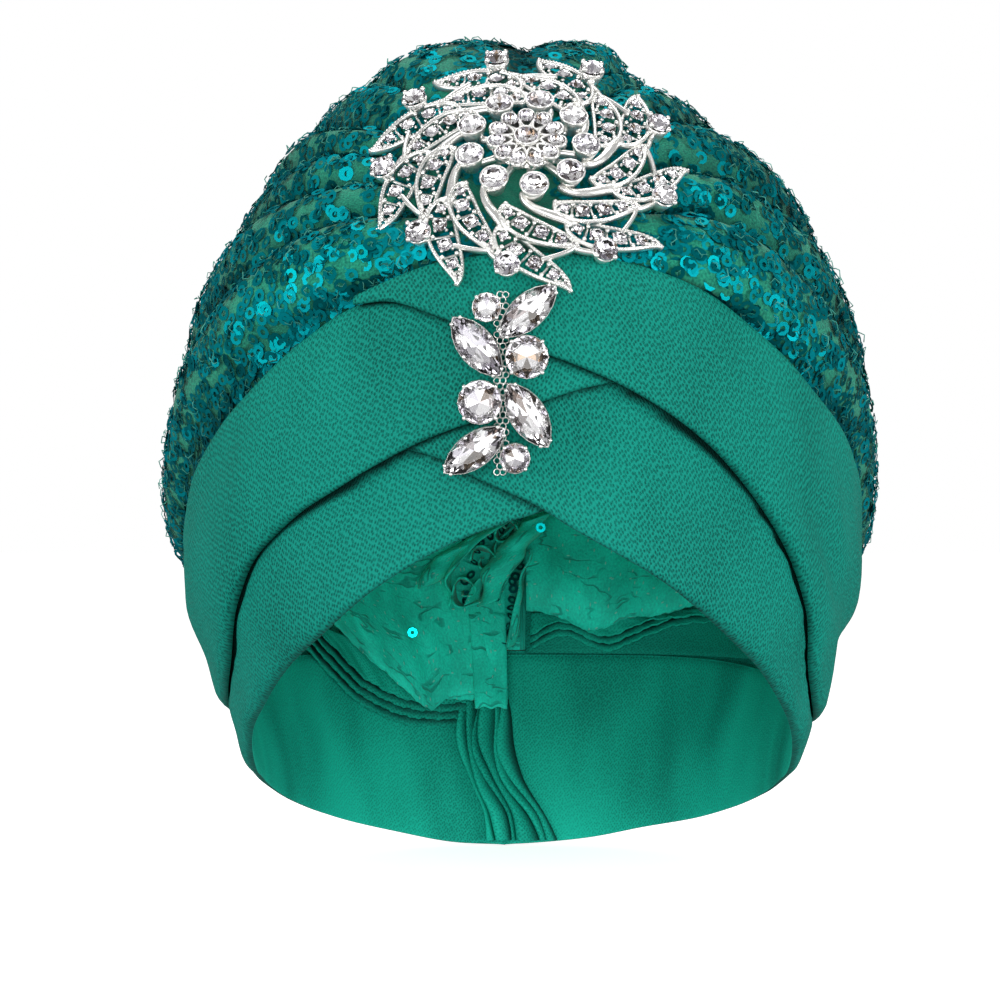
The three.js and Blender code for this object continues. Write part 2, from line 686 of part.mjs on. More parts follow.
addPiece("crown", wallGeometry(crownSheet(), CROWN_WALL), SEQUIN_CLOTH);
for (const [name, band] of Object.entries(BANDS)) addPiece(name, bandGeometry(band), CREPE);
for (const [name, flap] of Object.entries(SEAM_FLAPS)) {
  addPiece(name, flapGeometry(flap), name.includes("crown") ? SEQUIN_CLOTH : CREPE);
}
for (const [name, bunch] of Object.entries(SEAM_PLEATS)) {
  addPiece(name, pleatGeometry(bunch), name.includes("crown") ? SEQUIN_CLOTH : CREPE);
}

addPiece("brooch_frame", broochGeometry(), SILVER);
const pin = stackedGeometry(roundOutline(BROOCH_PIN.diameter, 8), [
  { height: -BROOCH_PIN.length / 2, share: 1 },
  { height: BROOCH_PIN.length / 2, share: 1 },
]);
pin.applyMatrix4(new THREE.Matrix4().makeRotationY(90 * DEG));
pin.applyMatrix4(new THREE.Matrix4().makeTranslation(0, 0, BROOCH_PIN.height)).applyMatrix4(broochFrame);
addPiece("brooch_pin", pin, SILVER);

sprays.forEach((spray, k) => {
  for (const [name, stone] of Object.entries({ inner: INNER_STONE, outer: OUTER_STONE })) {
    const cut = stoneGeometry(stone.diameter, stone.diameter, 8);
    setOnBrooch(cut, stone.radius, spray + stone.turn, stone.cup + GAP).applyMatrix4(broochFrame);
    addPiece(`brooch_${name}_stone_${k + 1}`, cut, CRYSTAL);
  }
});
petals.forEach((turn, k) => {
  const cut = stoneGeometry(FLOWER.petal, FLOWER.petal, 6);
  const flat = new THREE.Matrix4().makeTranslation(
    FLOWER.petalRadius * Math.cos(turn * DEG),
    FLOWER.petalRadius * Math.sin(turn * DEG),
    BROOCH_DOME + FLOWER.rise + GAP,
  );
  addPiece(`brooch_petal_stone_${k + 1}`, cut.applyMatrix4(flat).applyMatrix4(broochFrame), CRYSTAL);
});
const centreStone = stoneGeometry(FLOWER.centre, FLOWER.centre, 8);
setOnBrooch(centreStone, 0, 0, FLOWER.rise + GAP).applyMatrix4(broochFrame);
addPiece("brooch_centre_stone", centreStone, CRYSTAL);

addPiece("strip_base", stripGeometry(), SILVER);
for (const [name, stone] of Object.entries(STRIP_STONES)) {
  const cut = stoneGeometry(stone.length, stone.width, 8);
  addPiece(name, setOnStrip(cut, stone, METAL + STRIP_CUP + GAP), CRYSTAL);
}

export default cap;
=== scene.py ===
# %% [markdown]
# A ready-made turban cap: a gathered crown of sequin cloth, four crossed bands of crepe, a silver leaf
# brooch and a hanging strip of stones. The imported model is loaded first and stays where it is. Every soft
# piece is then made again from the same sizes at cloth detail, and each metal and stone piece gets its
# settings and facets.

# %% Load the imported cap
import math

import bpy
import numpy as np
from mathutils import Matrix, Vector


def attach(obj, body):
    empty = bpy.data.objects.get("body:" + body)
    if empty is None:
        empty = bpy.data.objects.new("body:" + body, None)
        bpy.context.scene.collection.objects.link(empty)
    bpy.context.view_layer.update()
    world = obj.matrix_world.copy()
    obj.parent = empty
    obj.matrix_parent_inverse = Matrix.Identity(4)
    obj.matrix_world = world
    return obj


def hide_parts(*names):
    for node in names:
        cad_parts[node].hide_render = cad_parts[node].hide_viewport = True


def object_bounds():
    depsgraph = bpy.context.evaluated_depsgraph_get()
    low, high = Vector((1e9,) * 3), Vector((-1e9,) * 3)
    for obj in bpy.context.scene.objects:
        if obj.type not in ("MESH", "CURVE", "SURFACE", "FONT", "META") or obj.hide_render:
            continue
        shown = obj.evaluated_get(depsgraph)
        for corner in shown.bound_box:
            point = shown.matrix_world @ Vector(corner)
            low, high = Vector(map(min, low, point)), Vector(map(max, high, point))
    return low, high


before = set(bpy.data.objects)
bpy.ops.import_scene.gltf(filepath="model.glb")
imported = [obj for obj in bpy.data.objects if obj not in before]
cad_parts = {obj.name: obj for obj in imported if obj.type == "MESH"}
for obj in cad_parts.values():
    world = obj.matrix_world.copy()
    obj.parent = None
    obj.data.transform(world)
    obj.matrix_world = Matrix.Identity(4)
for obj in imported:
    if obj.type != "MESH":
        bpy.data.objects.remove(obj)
packed_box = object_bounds()
MM = 0.001
print("packed nodes:", len(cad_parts), "box:", packed_box)

# %% [markdown]
# Finishes and repeated parts are both node trees. A tree could be wired by hand in the editor, but
# written out it reads better as sums. A wire stands for one value in a tree, and Python's own operators
# on it add Math nodes; every other node comes from one method that takes its type, its settings and its
# sockets.

# %% Wires and trees
class Wire:
    """One value inside a node tree."""

    def __init__(self, tree, socket):
        self.tree = tree
        self.socket = socket

    def math(self, operation, left, right):
        return self.tree.node("ShaderNodeMath", {"operation": operation}, {0: left, 1: right})

    def __add__(self, other):
        return self.math("ADD", self, other)

    def __radd__(self, other):
        return self.math("ADD", other, self)

    def __sub__(self, other):
        return self.math("SUBTRACT", self, other)

    def __rsub__(self, other):
        return self.math("SUBTRACT", other, self)

    def __mul__(self, other):
        return self.math("MULTIPLY", self, other)

    def __rmul__(self, other):
        return self.math("MULTIPLY", other, self)


class Tree:
    """A node tree, and the one way to add a node to it."""

    def __init__(self, nodes):
        self.nodes = nodes

    def feed(self, made, sockets):
        for key, value in sockets.items():
            if isinstance(value, Wire):
                self.nodes.links.new(value.socket, made.inputs[key])
            else:
                made.inputs[key].default_value = value

    def node(self, kind, settings, sockets, out=0):
        made = self.nodes.nodes.new(kind)
        for name, value in settings.items():
            setattr(made, name, value)
        self.feed(made, sockets)
        return Wire(self, made.outputs[out])


class Finish(Tree):
    """A material: its shader's own sockets first, then what varies over the surface."""

    def __init__(self, name, sockets):
        self.material = bpy.data.materials.new(name)
        self.material.use_nodes = True
        super().__init__(self.material.node_tree)
        self.shader = self.nodes.nodes["Principled BSDF"]
        self.feed(self.shader, sockets)

    def cloth_place(self, turn=0.0, scale=(1.0, 1.0, 1.0)):
        """The cloth's own flat map in metres, turned and scaled."""
        flat = self.node("ShaderNodeUVMap", {"uv_map": "cloth"}, {})
        settled = {"Vector": flat, "Rotation": (0, 0, math.radians(turn)), "Scale": scale}
        return self.node("ShaderNodeMapping", {}, settled)

    def object_place(self):
        return self.node("ShaderNodeTexCoord", {}, {}, out="Object")

    def attribute(self, name):
        return self.node("ShaderNodeAttribute", {"attribute_name": name}, {}, out=2)

    def noise(self, place, scale, detail=2.0):
        sockets = {"Vector": place, "Scale": scale, "Detail": detail}
        return self.node("ShaderNodeTexNoise", {}, sockets)

    def cells(self, place, scale, randomness):
        settings = {"voronoi_dimensions": "2D"}
        sockets = {"Vector": place, "Scale": scale, "Randomness": randomness}
        return self.node("ShaderNodeTexVoronoi", settings, sockets)

    def step(self, value, low, high):
        """0 below low, 1 above high, smooth between them."""
        settings = {"interpolation_type": "SMOOTHSTEP"}
        return self.node("ShaderNodeMapRange", settings, {0: value, 1: low, 2: high})

    def blend(self, share, first, second):
        settings = {"data_type": "RGBA"}
        return self.node("ShaderNodeMix", settings, {0: share, 6: first, 7: second}, out=2)

    def bump(self, height, strength, distance):
        sockets = {"Height": height, "Strength": strength, "Distance": distance}
        return self.node("ShaderNodeBump", {}, sockets)

    def wear(self, **sockets):
        names = {"colour": "Base Color", "roughness": "Roughness", "normal": "Normal"}
        self.feed(self.shader, {names[key]: value for key, value in sockets.items()})
        return self


def colour(red, green, blue):
    return (red, green, blue, 1.0)


print("tree helpers ready")

# %% [markdown]
# The camera stands level with the front of the cap, a metre away, with a long lens, as in the photograph.
# The light is a white studio: one broad soft box behind the camera that also reaches the inside of the
# back, smaller ones at both sides and overhead, and a pale room. Sequins and stones need something dim to
# mirror, so the room that lights them is greyer than the white one that the camera sees, and lighter
# again through clear glass.

# %% Camera, room and lights
scene = bpy.context.scene
scene.view_settings.view_transform = "Standard"

camera = bpy.data.objects.new("camera", bpy.data.cameras.new("camera"))
camera.location = (-0.0065, -1.0, 0.0026)
camera.rotation_euler = (math.radians(90), 0, 0)
camera.data.lens = 122.4
camera.data.sensor_width = 36.0
scene.collection.objects.link(camera)
scene.camera = camera

ROOM_LIGHT = 0.36
scene.world = bpy.data.worlds.new("studio")
scene.world.use_nodes = True
room = Tree(scene.world.node_tree)
room_nodes = scene.world.node_tree.nodes
room_nodes["Background"].inputs["Color"].default_value = colour(1.0, 1.0, 1.0)
room_nodes["Background"].inputs["Strength"].default_value = ROOM_LIGHT
white = room.node("ShaderNodeBackground", {}, {"Color": colour(1.0, 1.0, 1.0), "Strength": 1.0})
grey = Wire(room, room_nodes["Background"].outputs[0])
seen = room.node("ShaderNodeLightPath", {}, {})
through = room.node("ShaderNodeLightPath", {}, {}, out="Is Transmission Ray")
shown = room.node("ShaderNodeMixShader", {}, {0: seen + through * 0.32, 1: grey, 2: white})
room.feed(room_nodes["World Output"], {"Surface": shown})

# Each row: name, place, aim, width, height, watts.
SOFT_BOXES = [
    ("front_box", (-0.05, -1.50, 0.0), (0, 0, 0), 0.8, 0.8, 9.6),
    ("left_box", (-1.05, -0.70, 0.15), (0, -0.05, 0.0), 0.6, 0.6, 7.2),
    ("right_box", (1.05, -0.70, 0.05), (0, -0.05, 0.0), 0.5, 0.8, 8.4),
    ("top_box", (0.0, 0.10, 1.15), (0, 0, 0.05), 0.8, 0.6, 5.6),
]
for name, place, aim, width, height, watts in SOFT_BOXES:
    lamp = bpy.data.lights.new(name, "AREA")
    lamp.shape = "RECTANGLE"
    lamp.size = width
    lamp.size_y = height
    lamp.energy = watts
    box = bpy.data.objects.new(name, lamp)
    box.location = place
    box.rotation_euler = (Vector(aim) - Vector(place)).to_track_quat("-Z", "Y").to_euler()
    box.visible_camera = False
    scene.collection.objects.link(box)
print("soft boxes:", len(SOFT_BOXES))

# %% [markdown]
# Pieces are gathered as points in millimetres and faces, then made into one mesh. A sheet of cloth is
# laid out as a grid and given its thickness by moving it out and in along its own normals, and a wire or
# rim is a section swept along a path. Solidify and curve bevels could do both, but here the edges and the
# cloth map are wanted too.

# %% Shapes from points and faces
class Shape:
    """Points in millimetres, faces, finish numbers, cloth map, painted reflection tones and painted shade.
    """

    def __init__(self):
        self.points = []
        self.faces = []
        self.groups = []
        self.flat = []
        self.painted_reflections = []
        self.painted_shades = []
        self.count = 0

    def add(self, points, faces, groups=0, flat=None, painted_reflections=None, tuck=0.0):
        points = np.asarray(points, float).reshape(-1, 3)
        faces = [tuple(int(c) + self.count for c in face) for face in faces]
        self.points.append(points)
        self.faces += faces
        self.groups += list(groups) if np.ndim(groups) else [groups] * len(faces)
        self.flat.append(points[:, :2] if flat is None else np.asarray(flat, float).reshape(-1, 2))
        self.painted_reflections += [0.5] * len(faces) if painted_reflections is None else list(painted_reflections)
        self.painted_shades.append(np.broadcast_to(np.ravel(tuck), len(points)))
        self.count += len(points)

    def piece(self, name, finishes, smooth=True):
        mesh = bpy.data.meshes.new(name)
        mesh.from_pydata((np.concatenate(self.points) * MM).tolist(), [], self.faces)
        for finish in finishes:
            mesh.materials.append(finish.material)
        mesh.polygons.foreach_set("material_index", np.asarray(self.groups, np.int32))
        mesh.polygons.foreach_set("use_smooth", np.full(len(self.faces), smooth))
        corner = np.zeros(len(mesh.loops), np.int32)
        mesh.loops.foreach_get("vertex_index", corner)
        flat = np.concatenate(self.flat)[corner] * MM
        mesh.uv_layers.new(name="cloth").data.foreach_set("uv", flat.astype(np.float32).ravel())
        painted_reflection = mesh.attributes.new("painted_facet_reflection", "FLOAT", "FACE")
        painted_reflection.data.foreach_set("value", np.asarray(self.painted_reflections, np.float32))
        tuck = mesh.attributes.new("tuck", "FLOAT", "POINT")
        tuck.data.foreach_set("value", np.concatenate(self.painted_shades).astype(np.float32))
        mesh.update()
        piece = bpy.data.objects.new(name, mesh)
        scene.collection.objects.link(piece)
        print(f"{name}: {len(mesh.vertices)} points, {len(self.faces)} faces")
        return piece


def unit(v):
    return v / np.maximum(np.linalg.norm(v, axis=-1, keepdims=True), 1e-9)


def grid_faces(rows, columns):
    """The quads of a grid of points laid row after row."""
    i, j = np.meshgrid(np.arange(rows - 1), np.arange(columns - 1), indexing="ij")
    a = (i * columns + j).ravel()
    return np.stack([a, a + columns, a + columns + 1, a + 1], -1)


def grid_lengths(grid):
    """How far each point of a grid is along its rows and along its columns, as on the flat cloth."""
    down = np.linalg.norm(np.diff(grid, axis=0), axis=-1).mean(axis=1)
    along = np.linalg.norm(np.diff(grid, axis=1), axis=-1).mean(axis=0)
    down, along = (np.concatenate([[0], np.cumsum(v)]) for v in (down, along))
    return np.stack(np.meshgrid(along, down), -1)


def sheet_normals(points, quads):
    across = np.cross(points[quads[:, 2]] - points[quads[:, 0]], points[quads[:, 3]] - points[quads[:, 1]])
    normals = np.zeros_like(points)
    for corner in range(4):
        np.add.at(normals, quads[:, corner], across)
    return unit(normals)


def add_wall(shape, points, quads, thickness, flat, outside=0, inside=0, tuck=0.0, inner_painted_shade=0.0):
    """A closed wall from an open sheet, moved out and in by half its thickness and joined at its edges."""
    normals = sheet_normals(points, quads)
    n = len(points)
    half = np.reshape(thickness, (-1, 1)) / 2
    both = np.concatenate([points + normals * half, points - normals * half])
    sides = np.concatenate([quads[:, [k, (k + 1) % 4]] for k in range(4)])
    sides = set(map(tuple, sides[sides[:, 0] != sides[:, 1]].tolist()))
    rim = sorted((b, a, a + n, b + n) for a, b in sides if (b, a) not in sides)
    faces = [tuple(dict.fromkeys(face)) for face in [*quads.tolist(), *(quads[:, ::-1] + n).tolist()]]
    groups = [outside] * len(quads) + [inside] * len(quads) + [outside] * len(rim)
    painted_shades = np.concatenate([np.broadcast_to(tuck, n), np.broadcast_to(inner_painted_shade, n)])
    shape.add(both, faces + rim, groups, np.concatenate([flat, flat]), tuck=painted_shades)


def add_sheet(shape, grid, thickness, tuck=0.0):
    """A wall from a grid of points, rows by columns, with the same painted shade on both sides."""
    quads = grid_faces(*grid.shape[:2])
    flat = grid_lengths(grid).reshape(-1, 2)
    tuck = np.broadcast_to(tuck, grid.shape[:2]).ravel()
    add_wall(shape, grid.reshape(-1, 3), quads, thickness, flat, tuck=tuck, inner_painted_shade=tuck)


def add_sweep(shape, path, outward, section, closed=False, group=0):
    """A section of (aside, out) pairs swept along a path; outward is the way out of its face."""
    path = np.asarray(path, float)
    if closed:
        ahead = np.roll(path, -1, axis=0) - np.roll(path, 1, axis=0)
    else:
        ahead = np.gradient(path, axis=0)
    aside = unit(np.cross(unit(ahead), np.broadcast_to(outward, path.shape)))
    out = np.cross(aside, unit(ahead))
    section = np.broadcast_to(section, (len(path), *np.shape(section)[-2:]))
    rings = path[:, None] + aside[:, None] * section[..., :1] + out[:, None] * section[..., 1:]
    m = section.shape[1]
    last = len(path) if closed else len(path) - 1
    faces = []
    for i in range(last):
        here, there = i * m, (i + 1) % len(path) * m
        faces += [(here + k, there + k, there + (k + 1) % m, here + (k + 1) % m) for k in range(m)]
    if not closed:
        faces += [tuple(range(m)), tuple(range(len(path) * m - 1, (len(path) - 1) * m - 1, -1))]
    shape.add(rings.reshape(-1, 3), faces, group)


print("shape helpers ready")

# %% [markdown]
# The bands lie on a head form: a soft box in plan whose width and depth change with height. The same
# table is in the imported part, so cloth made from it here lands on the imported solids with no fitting. A
# table is read as a smooth curve through its rows, which keeps an edge line fair with only a few rows.

# %% The head form
# Each row: height, half width, front depth, back depth.
HEAD_FORM = np.array([
    (-112, 74, 92, 90), (-80, 76.5, 96.5, 97), (-60, 80.5, 98.5, 102), (-44, 84, 99.5, 106),
    (-27, 90, 100.5, 108), (0, 92, 101, 110), (35, 91, 100, 110), (60, 86, 96.5, 104), (80, 78, 90, 98),
], float)
FRONT_SQUARENESS = 0.92
BACK_SQUARENESS = 0.78


def mix(a, b, t):
    return a + (b - a) * t


def smooth(low, high, x):
    t = np.clip((np.asarray(x, float) - low) / (high - low), 0, 1)
    return t * t * (3 - 2 * t)


def curve(rows, x, column):
    """A smooth curve through one column of a table, read at x along its first column."""
    keys, values = rows[:, 0], rows[:, column]
    slopes = np.empty(len(keys))
    slopes[1:-1] = (values[2:] - values[:-2]) / (keys[2:] - keys[:-2])
    slopes[0] = (values[1] - values[0]) / (keys[1] - keys[0])
    slopes[-1] = (values[-1] - values[-2]) / (keys[-1] - keys[-2])
    i = np.clip(np.searchsorted(keys, x, side="right") - 1, 0, len(keys) - 2)
    span = keys[i + 1] - keys[i]
    t = np.clip((x - keys[i]) / span, 0, 1)
    leave = t * (1 - t) ** 2 * slopes[i] * span
    arrive = t * t * (t - 1) * slopes[i + 1] * span
    return mix(values[i], values[i + 1], t * t * (3 - 2 * t)) + leave + arrive


def form_point(turn, height, lift):
    """A point on the head form at a turn from the front, pushed out by lift."""
    turn, height, lift = np.broadcast_arrays(np.radians(turn), height, lift)
    c, s = np.cos(turn), np.sin(turn)
    square = np.where(c > 0, FRONT_SQUARENESS, BACK_SQUARENESS)
    depth = np.where(c > 0, curve(HEAD_FORM, height, 2), curve(HEAD_FORM, height, 3)) + lift
    x = (curve(HEAD_FORM, height, 1) + lift) * np.sign(s) * np.abs(s) ** square
    return np.stack([x, -depth * np.sign(c) * np.abs(c) ** square, height], -1)


print("head form heights:", HEAD_FORM[0, 0], "to", HEAD_FORM[-1, 0])

# %% [markdown]
# The bands are a pebbled crepe knit: small pits between raised loops, in slanting rows a little over
# a millimetre apart. The pits are bumps with painted shade in them, and the grain noise that raises the
# loops also paints small highlights on them. An image could hold that, but cells of a Voronoi texture on
# the cloth's own flat map follow each band round the head and stay sharp close up. Painted shade darkens
# the cloth where it goes in under the next fold. The wrong side, seen inside at the nape, is flatter and
# finer with soft slanting creases that are bumped and have their light and dark painted into the colour.
# Its colours are lighter than the outside's, painted light for the dimmer inside.

# %% Crepe finishes
def crepe_finish(name, light, dark, pit_scale, pit_depth, pit_painted_shade, drape_depth, drape_painted_shading):
    finish = Finish(name, {"Roughness": 0.7, "Specular IOR Level": 0.1})
    place = finish.cloth_place(turn=38, scale=(1.0, 0.76, 1.0))
    pits = 1 - finish.step(finish.cells(place, pit_scale, 0.5), 0.08, 0.50)
    fuzz = finish.noise(finish.cloth_place(turn=-30, scale=(1.0, 0.55, 1.0)), pit_scale * 2.6)
    drape = finish.noise(finish.cloth_place(turn=-62, scale=(1.0, 0.42, 1.0)), 30.0)
    # Painted shade in the pits, painted highlights on the loops from the grain noise, and painted crease
    # shading.
    shade = pits * pit_painted_shade + (0.78 - fuzz) * 0.95 + (drape - 0.5) * drape_painted_shading
    cloth = finish.blend(finish.step(shade, 0.0, 1.15), light, dark)
    surface = fuzz * 0.3 - pits + drape * drape_depth
    return finish.wear(
        # Painted shade: the cloth blends to near black where the mark says other cloth lies over it.
        colour=finish.blend(finish.attribute("tuck"), cloth, colour(0.001, 0.030, 0.024)),
        normal=finish.bump(surface, 0.8, pit_depth * MM),
    )


CREPE = crepe_finish(
    "crepe", colour(0.005, 0.29, 0.222), colour(0.001, 0.06, 0.048), 1040, 0.3, 0.48, 2.5, 0.7)
# The wrong side's colours are lighter than the outside's: painted light for the dimmer inside.
CREPE_BACK_PAINTED_LIGHT = crepe_finish(
    "crepe_back", colour(0.008, 0.50, 0.355), colour(0.002, 0.19, 0.138), 1300, 0.16, 0.42, 30.0, 2.1)
print("crepe finishes:", CREPE.material.name, CREPE_BACK_PAINTED_LIGHT.material.name)

# %% [markdown]
# Each band is a flat tube of crepe, folded on both edges. It starts at a hidden tail, crosses the front
# in the order right upper, left upper, right lower, left lower, and runs down to the centre back seam. A
# curve with a bevel would round it everywhere; here the section is flat with a small round fold, and it
# swells a little where no other band lies over it.

# %% Band sizes
CROSSING_THICKNESS = 2.0
SIDE_THICKNESS = 3.0
# Each band: lift at the crossing, lift at the side, turns where one becomes the other, swell, and the
# rows of its edges as turn, low, high.
BANDS = {
    "right_upper_band": (9.15, 5.5, (17, 38), 1.1, [
        (-26, 54.4, 57), (-19.5, 55, 61.5), (-12.5, 51.2, 65.4), (0, 42.6, 67.9), (12, 33.6, 66.4),
        (20.5, 25.3, 63.2), (30, 14.6, 57.8), (38, 3.4, 50.2), (47, -12.4, 40.6), (53, -25.2, 33.6),
        (59, -37, 27.5), (66, -48, 20.5), (75, -57, 11), (90, -63, -7), (100, -66, -20), (115, -70, -33),
        (140, -75, -41), (184, -80, -45)]),
    "left_upper_band": (6.55, 5.5, (-24, -43), 1.1, [
        (-175.7, -80, -45), (-140, -74, -42), (-115, -69, -36), (-100, -64, -26), (-90, -59, -15),
        (-78, -52.6, -1), (-67.5, -43.5, 12), (-59.3, -33.2, 21.3), (-54, -23.8, 27), (-49, -14.6, 32.3),
        (-42, -6.4, 40), (-36.2, -0.6, 46), (-28.5, 5.6, 53), (-23, 10.6, 55.4), (-12.9, 19, 54),
        (0, 27, 50), (7.5, 31.8, 46), (15.5, 34.5, 41)]),
    "right_lower_band": (3.95, 1.75, (15.5, 34), 0.9, [
        (-22, 17.5, 26), (-12.8, 14, 31), (-6.5, 8.4, 35), (0, 2.6, 38), (6, -4.6, 40), (12, -10.6, 41),
        (20.5, -18.6, 37), (30, -28, 27), (38, -35.6, 16), (47, -43, 3), (53, -48.5, -11), (59, -54, -24),
        (66, -60, -35), (75, -67.5, -43), (90, -78.5, -48), (110, -88, -51), (135, -97, -48.5),
        (155, -102, -47.6), (168, -105.6, -47.6), (181.74, -108, -47.6)]),
    "left_lower_band": (1.35, 1.75, (-22, -36), 0.9, [
        (-178.24, -108, -47.6), (-168, -107, -47.6), (-155, -103.5, -47.4), (-135, -97.5, -46.5),
        (-110, -88, -46), (-90, -78, -43), (-79, -69.5, -39), (-70, -62, -32), (-61, -55.3, -23),
        (-53, -48, -8), (-46.5, -42.2, 5), (-35, -32.8, 16), (-22, -19.5, 23), (-10, -8.7, 22),
        (2, -0.6, 18), (8, 3.5, 16), (14, 7, 14)]),
}
BAND_COLUMNS = 30
BAND_TURN_STEP = 1.15
TUCK_REACH = 0.8
EDGE_DROP = 1.1
# A soft crease along a band at the side: its place across, width, depth and the turns where it fades in
# and out.
CREASES = {"right_upper_band": (0.36, 0.12, 2.8, (36, 62), (150, 115))}
LYING_OVER = list(BANDS)
print("bands:", LYING_OVER)

# %% [markdown]
# A band's section is worked out at each turn: its outer face from the low edge to the high one, then the
# inner face back again. It is flattened where another band lies over it. Painted shade goes on the cloth
# under the other band, on a strip just below that band's edge and along the underside of this band's own
# low edge, and the finish blends it to near black.

# %% Bands
def edge_rows(name):
    return np.array(BANDS[name][4], float)


def tucked_under(name, turns, height):
    """How far a band's cloth goes in under the bands that lie over it: 1 under them, fading just below."""
    tuck = np.zeros(np.broadcast_shapes(turns.shape, height.shape))
    for over in LYING_OVER[:LYING_OVER.index(name)]:
        edges = edge_rows(over)
        begin, end = edges[0, 0], edges[-1, 0]
        for shift in (-360, 0, 360):
            turn = turns + shift
            there = smooth(begin - 0.1, begin, turn) * smooth(end + 0.1, end, turn)
            below = curve(edges, turn, 1) - height
            above = height - curve(edges, turn, 2)
            near = np.exp(-((np.maximum(np.maximum(below, above), 0) / TUCK_REACH) ** 2))
            tuck = np.maximum(tuck, there * near)
    return tuck


def band_shape(name):
    crossing_lift, side_lift, settle, swell, _ = BANDS[name]
    edges = edge_rows(name)
    steps = int((edges[-1, 0] - edges[0, 0]) / BAND_TURN_STEP)
    turns = np.linspace(edges[0, 0], edges[-1, 0], steps)[:, None]
    low, high = curve(edges, turns, 1), curve(edges, turns, 2)
    settled = smooth(*settle, turns)
    half = mix(CROSSING_THICKNESS, SIDE_THICKNESS, settled) / 2
    place = 0.5 - 0.5 * np.cos(np.pi * np.linspace(0, 1, BAND_COLUMNS))[None]
    height = mix(low, high, place)
    from_edge = np.minimum(place, 1 - place) * (high - low)
    fold = np.sqrt(np.clip(1 - (1 - np.minimum(from_edge / (half * 2.2), 1)) ** 2, 0, 1))
    tuck = tucked_under(name, turns, height)
    soft = swell * settled * np.sin(np.pi * np.clip(place / 0.78, 0, 1)) ** 0.7
    ripple = 0.35 * settled * np.sin(turns * 0.31 + 4.0 * place) * np.sin(turns * 0.12 + 9.0 * place + 1.0)
    lift = mix(crossing_lift, side_lift, settled) - EDGE_DROP * settled * (1 - fold) * (place < 0.5)
    if name in CREASES:
        middle, wide, painted_shade, begin, end = CREASES[name]
        there = smooth(*begin, turns) * smooth(*end, turns)
        soft = soft - painted_shade * np.exp(-(((place - middle) / wide) ** 2)) * there
    puffed = fold * (half * 1.08 + (soft + ripple) * (1 - tuck))
    outer = form_point(turns, height, lift + puffed - 0.5 * half * tuck)
    inner = form_point(turns, height, lift - half * 1.02 * fold)
    ring = np.concatenate([outer, inner[:, -2:0:-1]], axis=1)
    n, m = ring.shape[:2]
    along = np.concatenate([[0], np.cumsum(np.linalg.norm(np.diff(outer[:, m // 4], axis=0), axis=-1))])
    across = place * np.linalg.norm(outer[:, -1] - outer[:, 0], axis=-1)[:, None]
    across = np.concatenate([across, across[:, -2:0:-1]], axis=1)
    flat = np.stack([np.broadcast_to(along[:, None], (n, m)), across], -1)
    # Painted shade along the outer face at the band's low edge, under its fold.
    painted_edge_shade = 0.45 * np.exp(-((place * (high - low) / 0.6) ** 2))
    shade = np.concatenate([np.maximum(tuck, painted_edge_shade), np.zeros((n, m - BAND_COLUMNS))], axis=1)
    faces, groups = [], []
    for i in range(n - 1):
        for k in range(m):
            a, b = i * m, (i + 1) * m
            faces.append((a + k, b + k, b + (k + 1) % m, a + (k + 1) % m))
            groups.append(0 if k < BAND_COLUMNS - 1 else 1)
    faces += [tuple(range(m)), tuple(range(n * m - 1, (n - 1) * m - 1, -1))]
    shape = Shape()
    shape.add(ring, faces, groups + [0, 0], flat, tuck=shade)
    return shape, along[-1], float(np.mean(high - low))


pieces = {}
for name in BANDS:
    shape, length, width = band_shape(name)
    pieces[name] = shape.piece(name + "_cloth", [CREPE, CREPE_BACK_PAINTED_LIGHT])
    print(f"  {name} is about {length:.0f} mm long and {width:.0f} mm wide")

# %% [markdown]
# The crown is one piece of sequin cloth, gathered on a short line under the brooch and on another at the
# centre back, so its folds fan out between the two. Cloth simulation could fold it, but the folds of this
# cap are known one by one, so each is a roll between two sharp valleys on a leaning dome. The rolls at
# the sides have their crest near the upper edge, which hangs over the next roll and shades it. A valley
# may drift on its way to the side.

# %% Crown sizes
CROWN_WALL = 2.2
CROWN_LIFT = {"front": 6.2, "side": 1.6, "settle": (12, 28)}
CROWN_TUCK = {"front": 4, "side": 8, "back": 2.6}
CROWN_RISE = 1.2
CROWN_COLUMNS = 150
ROWS_PER_FACET = 3
FRONT_GATHER = np.array([0, -79, 96.0])
BACK_GATHER = np.array([0, 111, 2.0])
CROWN_MIDDLE = np.array([0, 15, 25.0])
CROWN_HALF_WIDTH = 97
CROWN_REAR_PUFF = 5
CROWN_REAR_DROP = 7
CROWN_TOP_SWELL = 67
CROWN_LEAN = 36
# The valleys between the folds: angle about the line from front to back at the front and at the side,
# depth, the height of the fold that follows, the share of it where its crest is, its rows of facets.
CROWN_VALLEYS = np.array([
    (-98, -98, 0, 5.8, 0.52, 4), (-74, -84, 4.5, 2.8, 0.66, 4), (-65, -65, 4, 3.2, 0.66, 3),
    (-55, -54, 3.5, 4, 0.66, 3), (-48, -47, 3.5, 6, 0.64, 4), (-33, -33, 3.4, 7.4, 0.3, 6),
    (0, 0, 1.2, 6.8, 0.7, 5), (21.5, 21.5, 3.4, 4, 0.4, 3), (26, 26, 3.4, 5.2, 0.36, 4),
    (40, 42, 4, 6.6, 0.34, 4), (57, 68, 4.5, 4.2, 0.34, 4), (71, 85, 6, 4.6, 0.4, 4), (98, 98, 0, 0, 0.5, 0),
], float)
# Shares of a fold: how far the valley reaches down its upper edge and up its lower side, and how far
# painted shade reaches.
LIP_WIDTH = 0.09
FOOT_WIDTH = 0.16
LIP_SHADE = 0.05
FOOT_SHADE = 0.34
EDGE_SHADE = 0.06
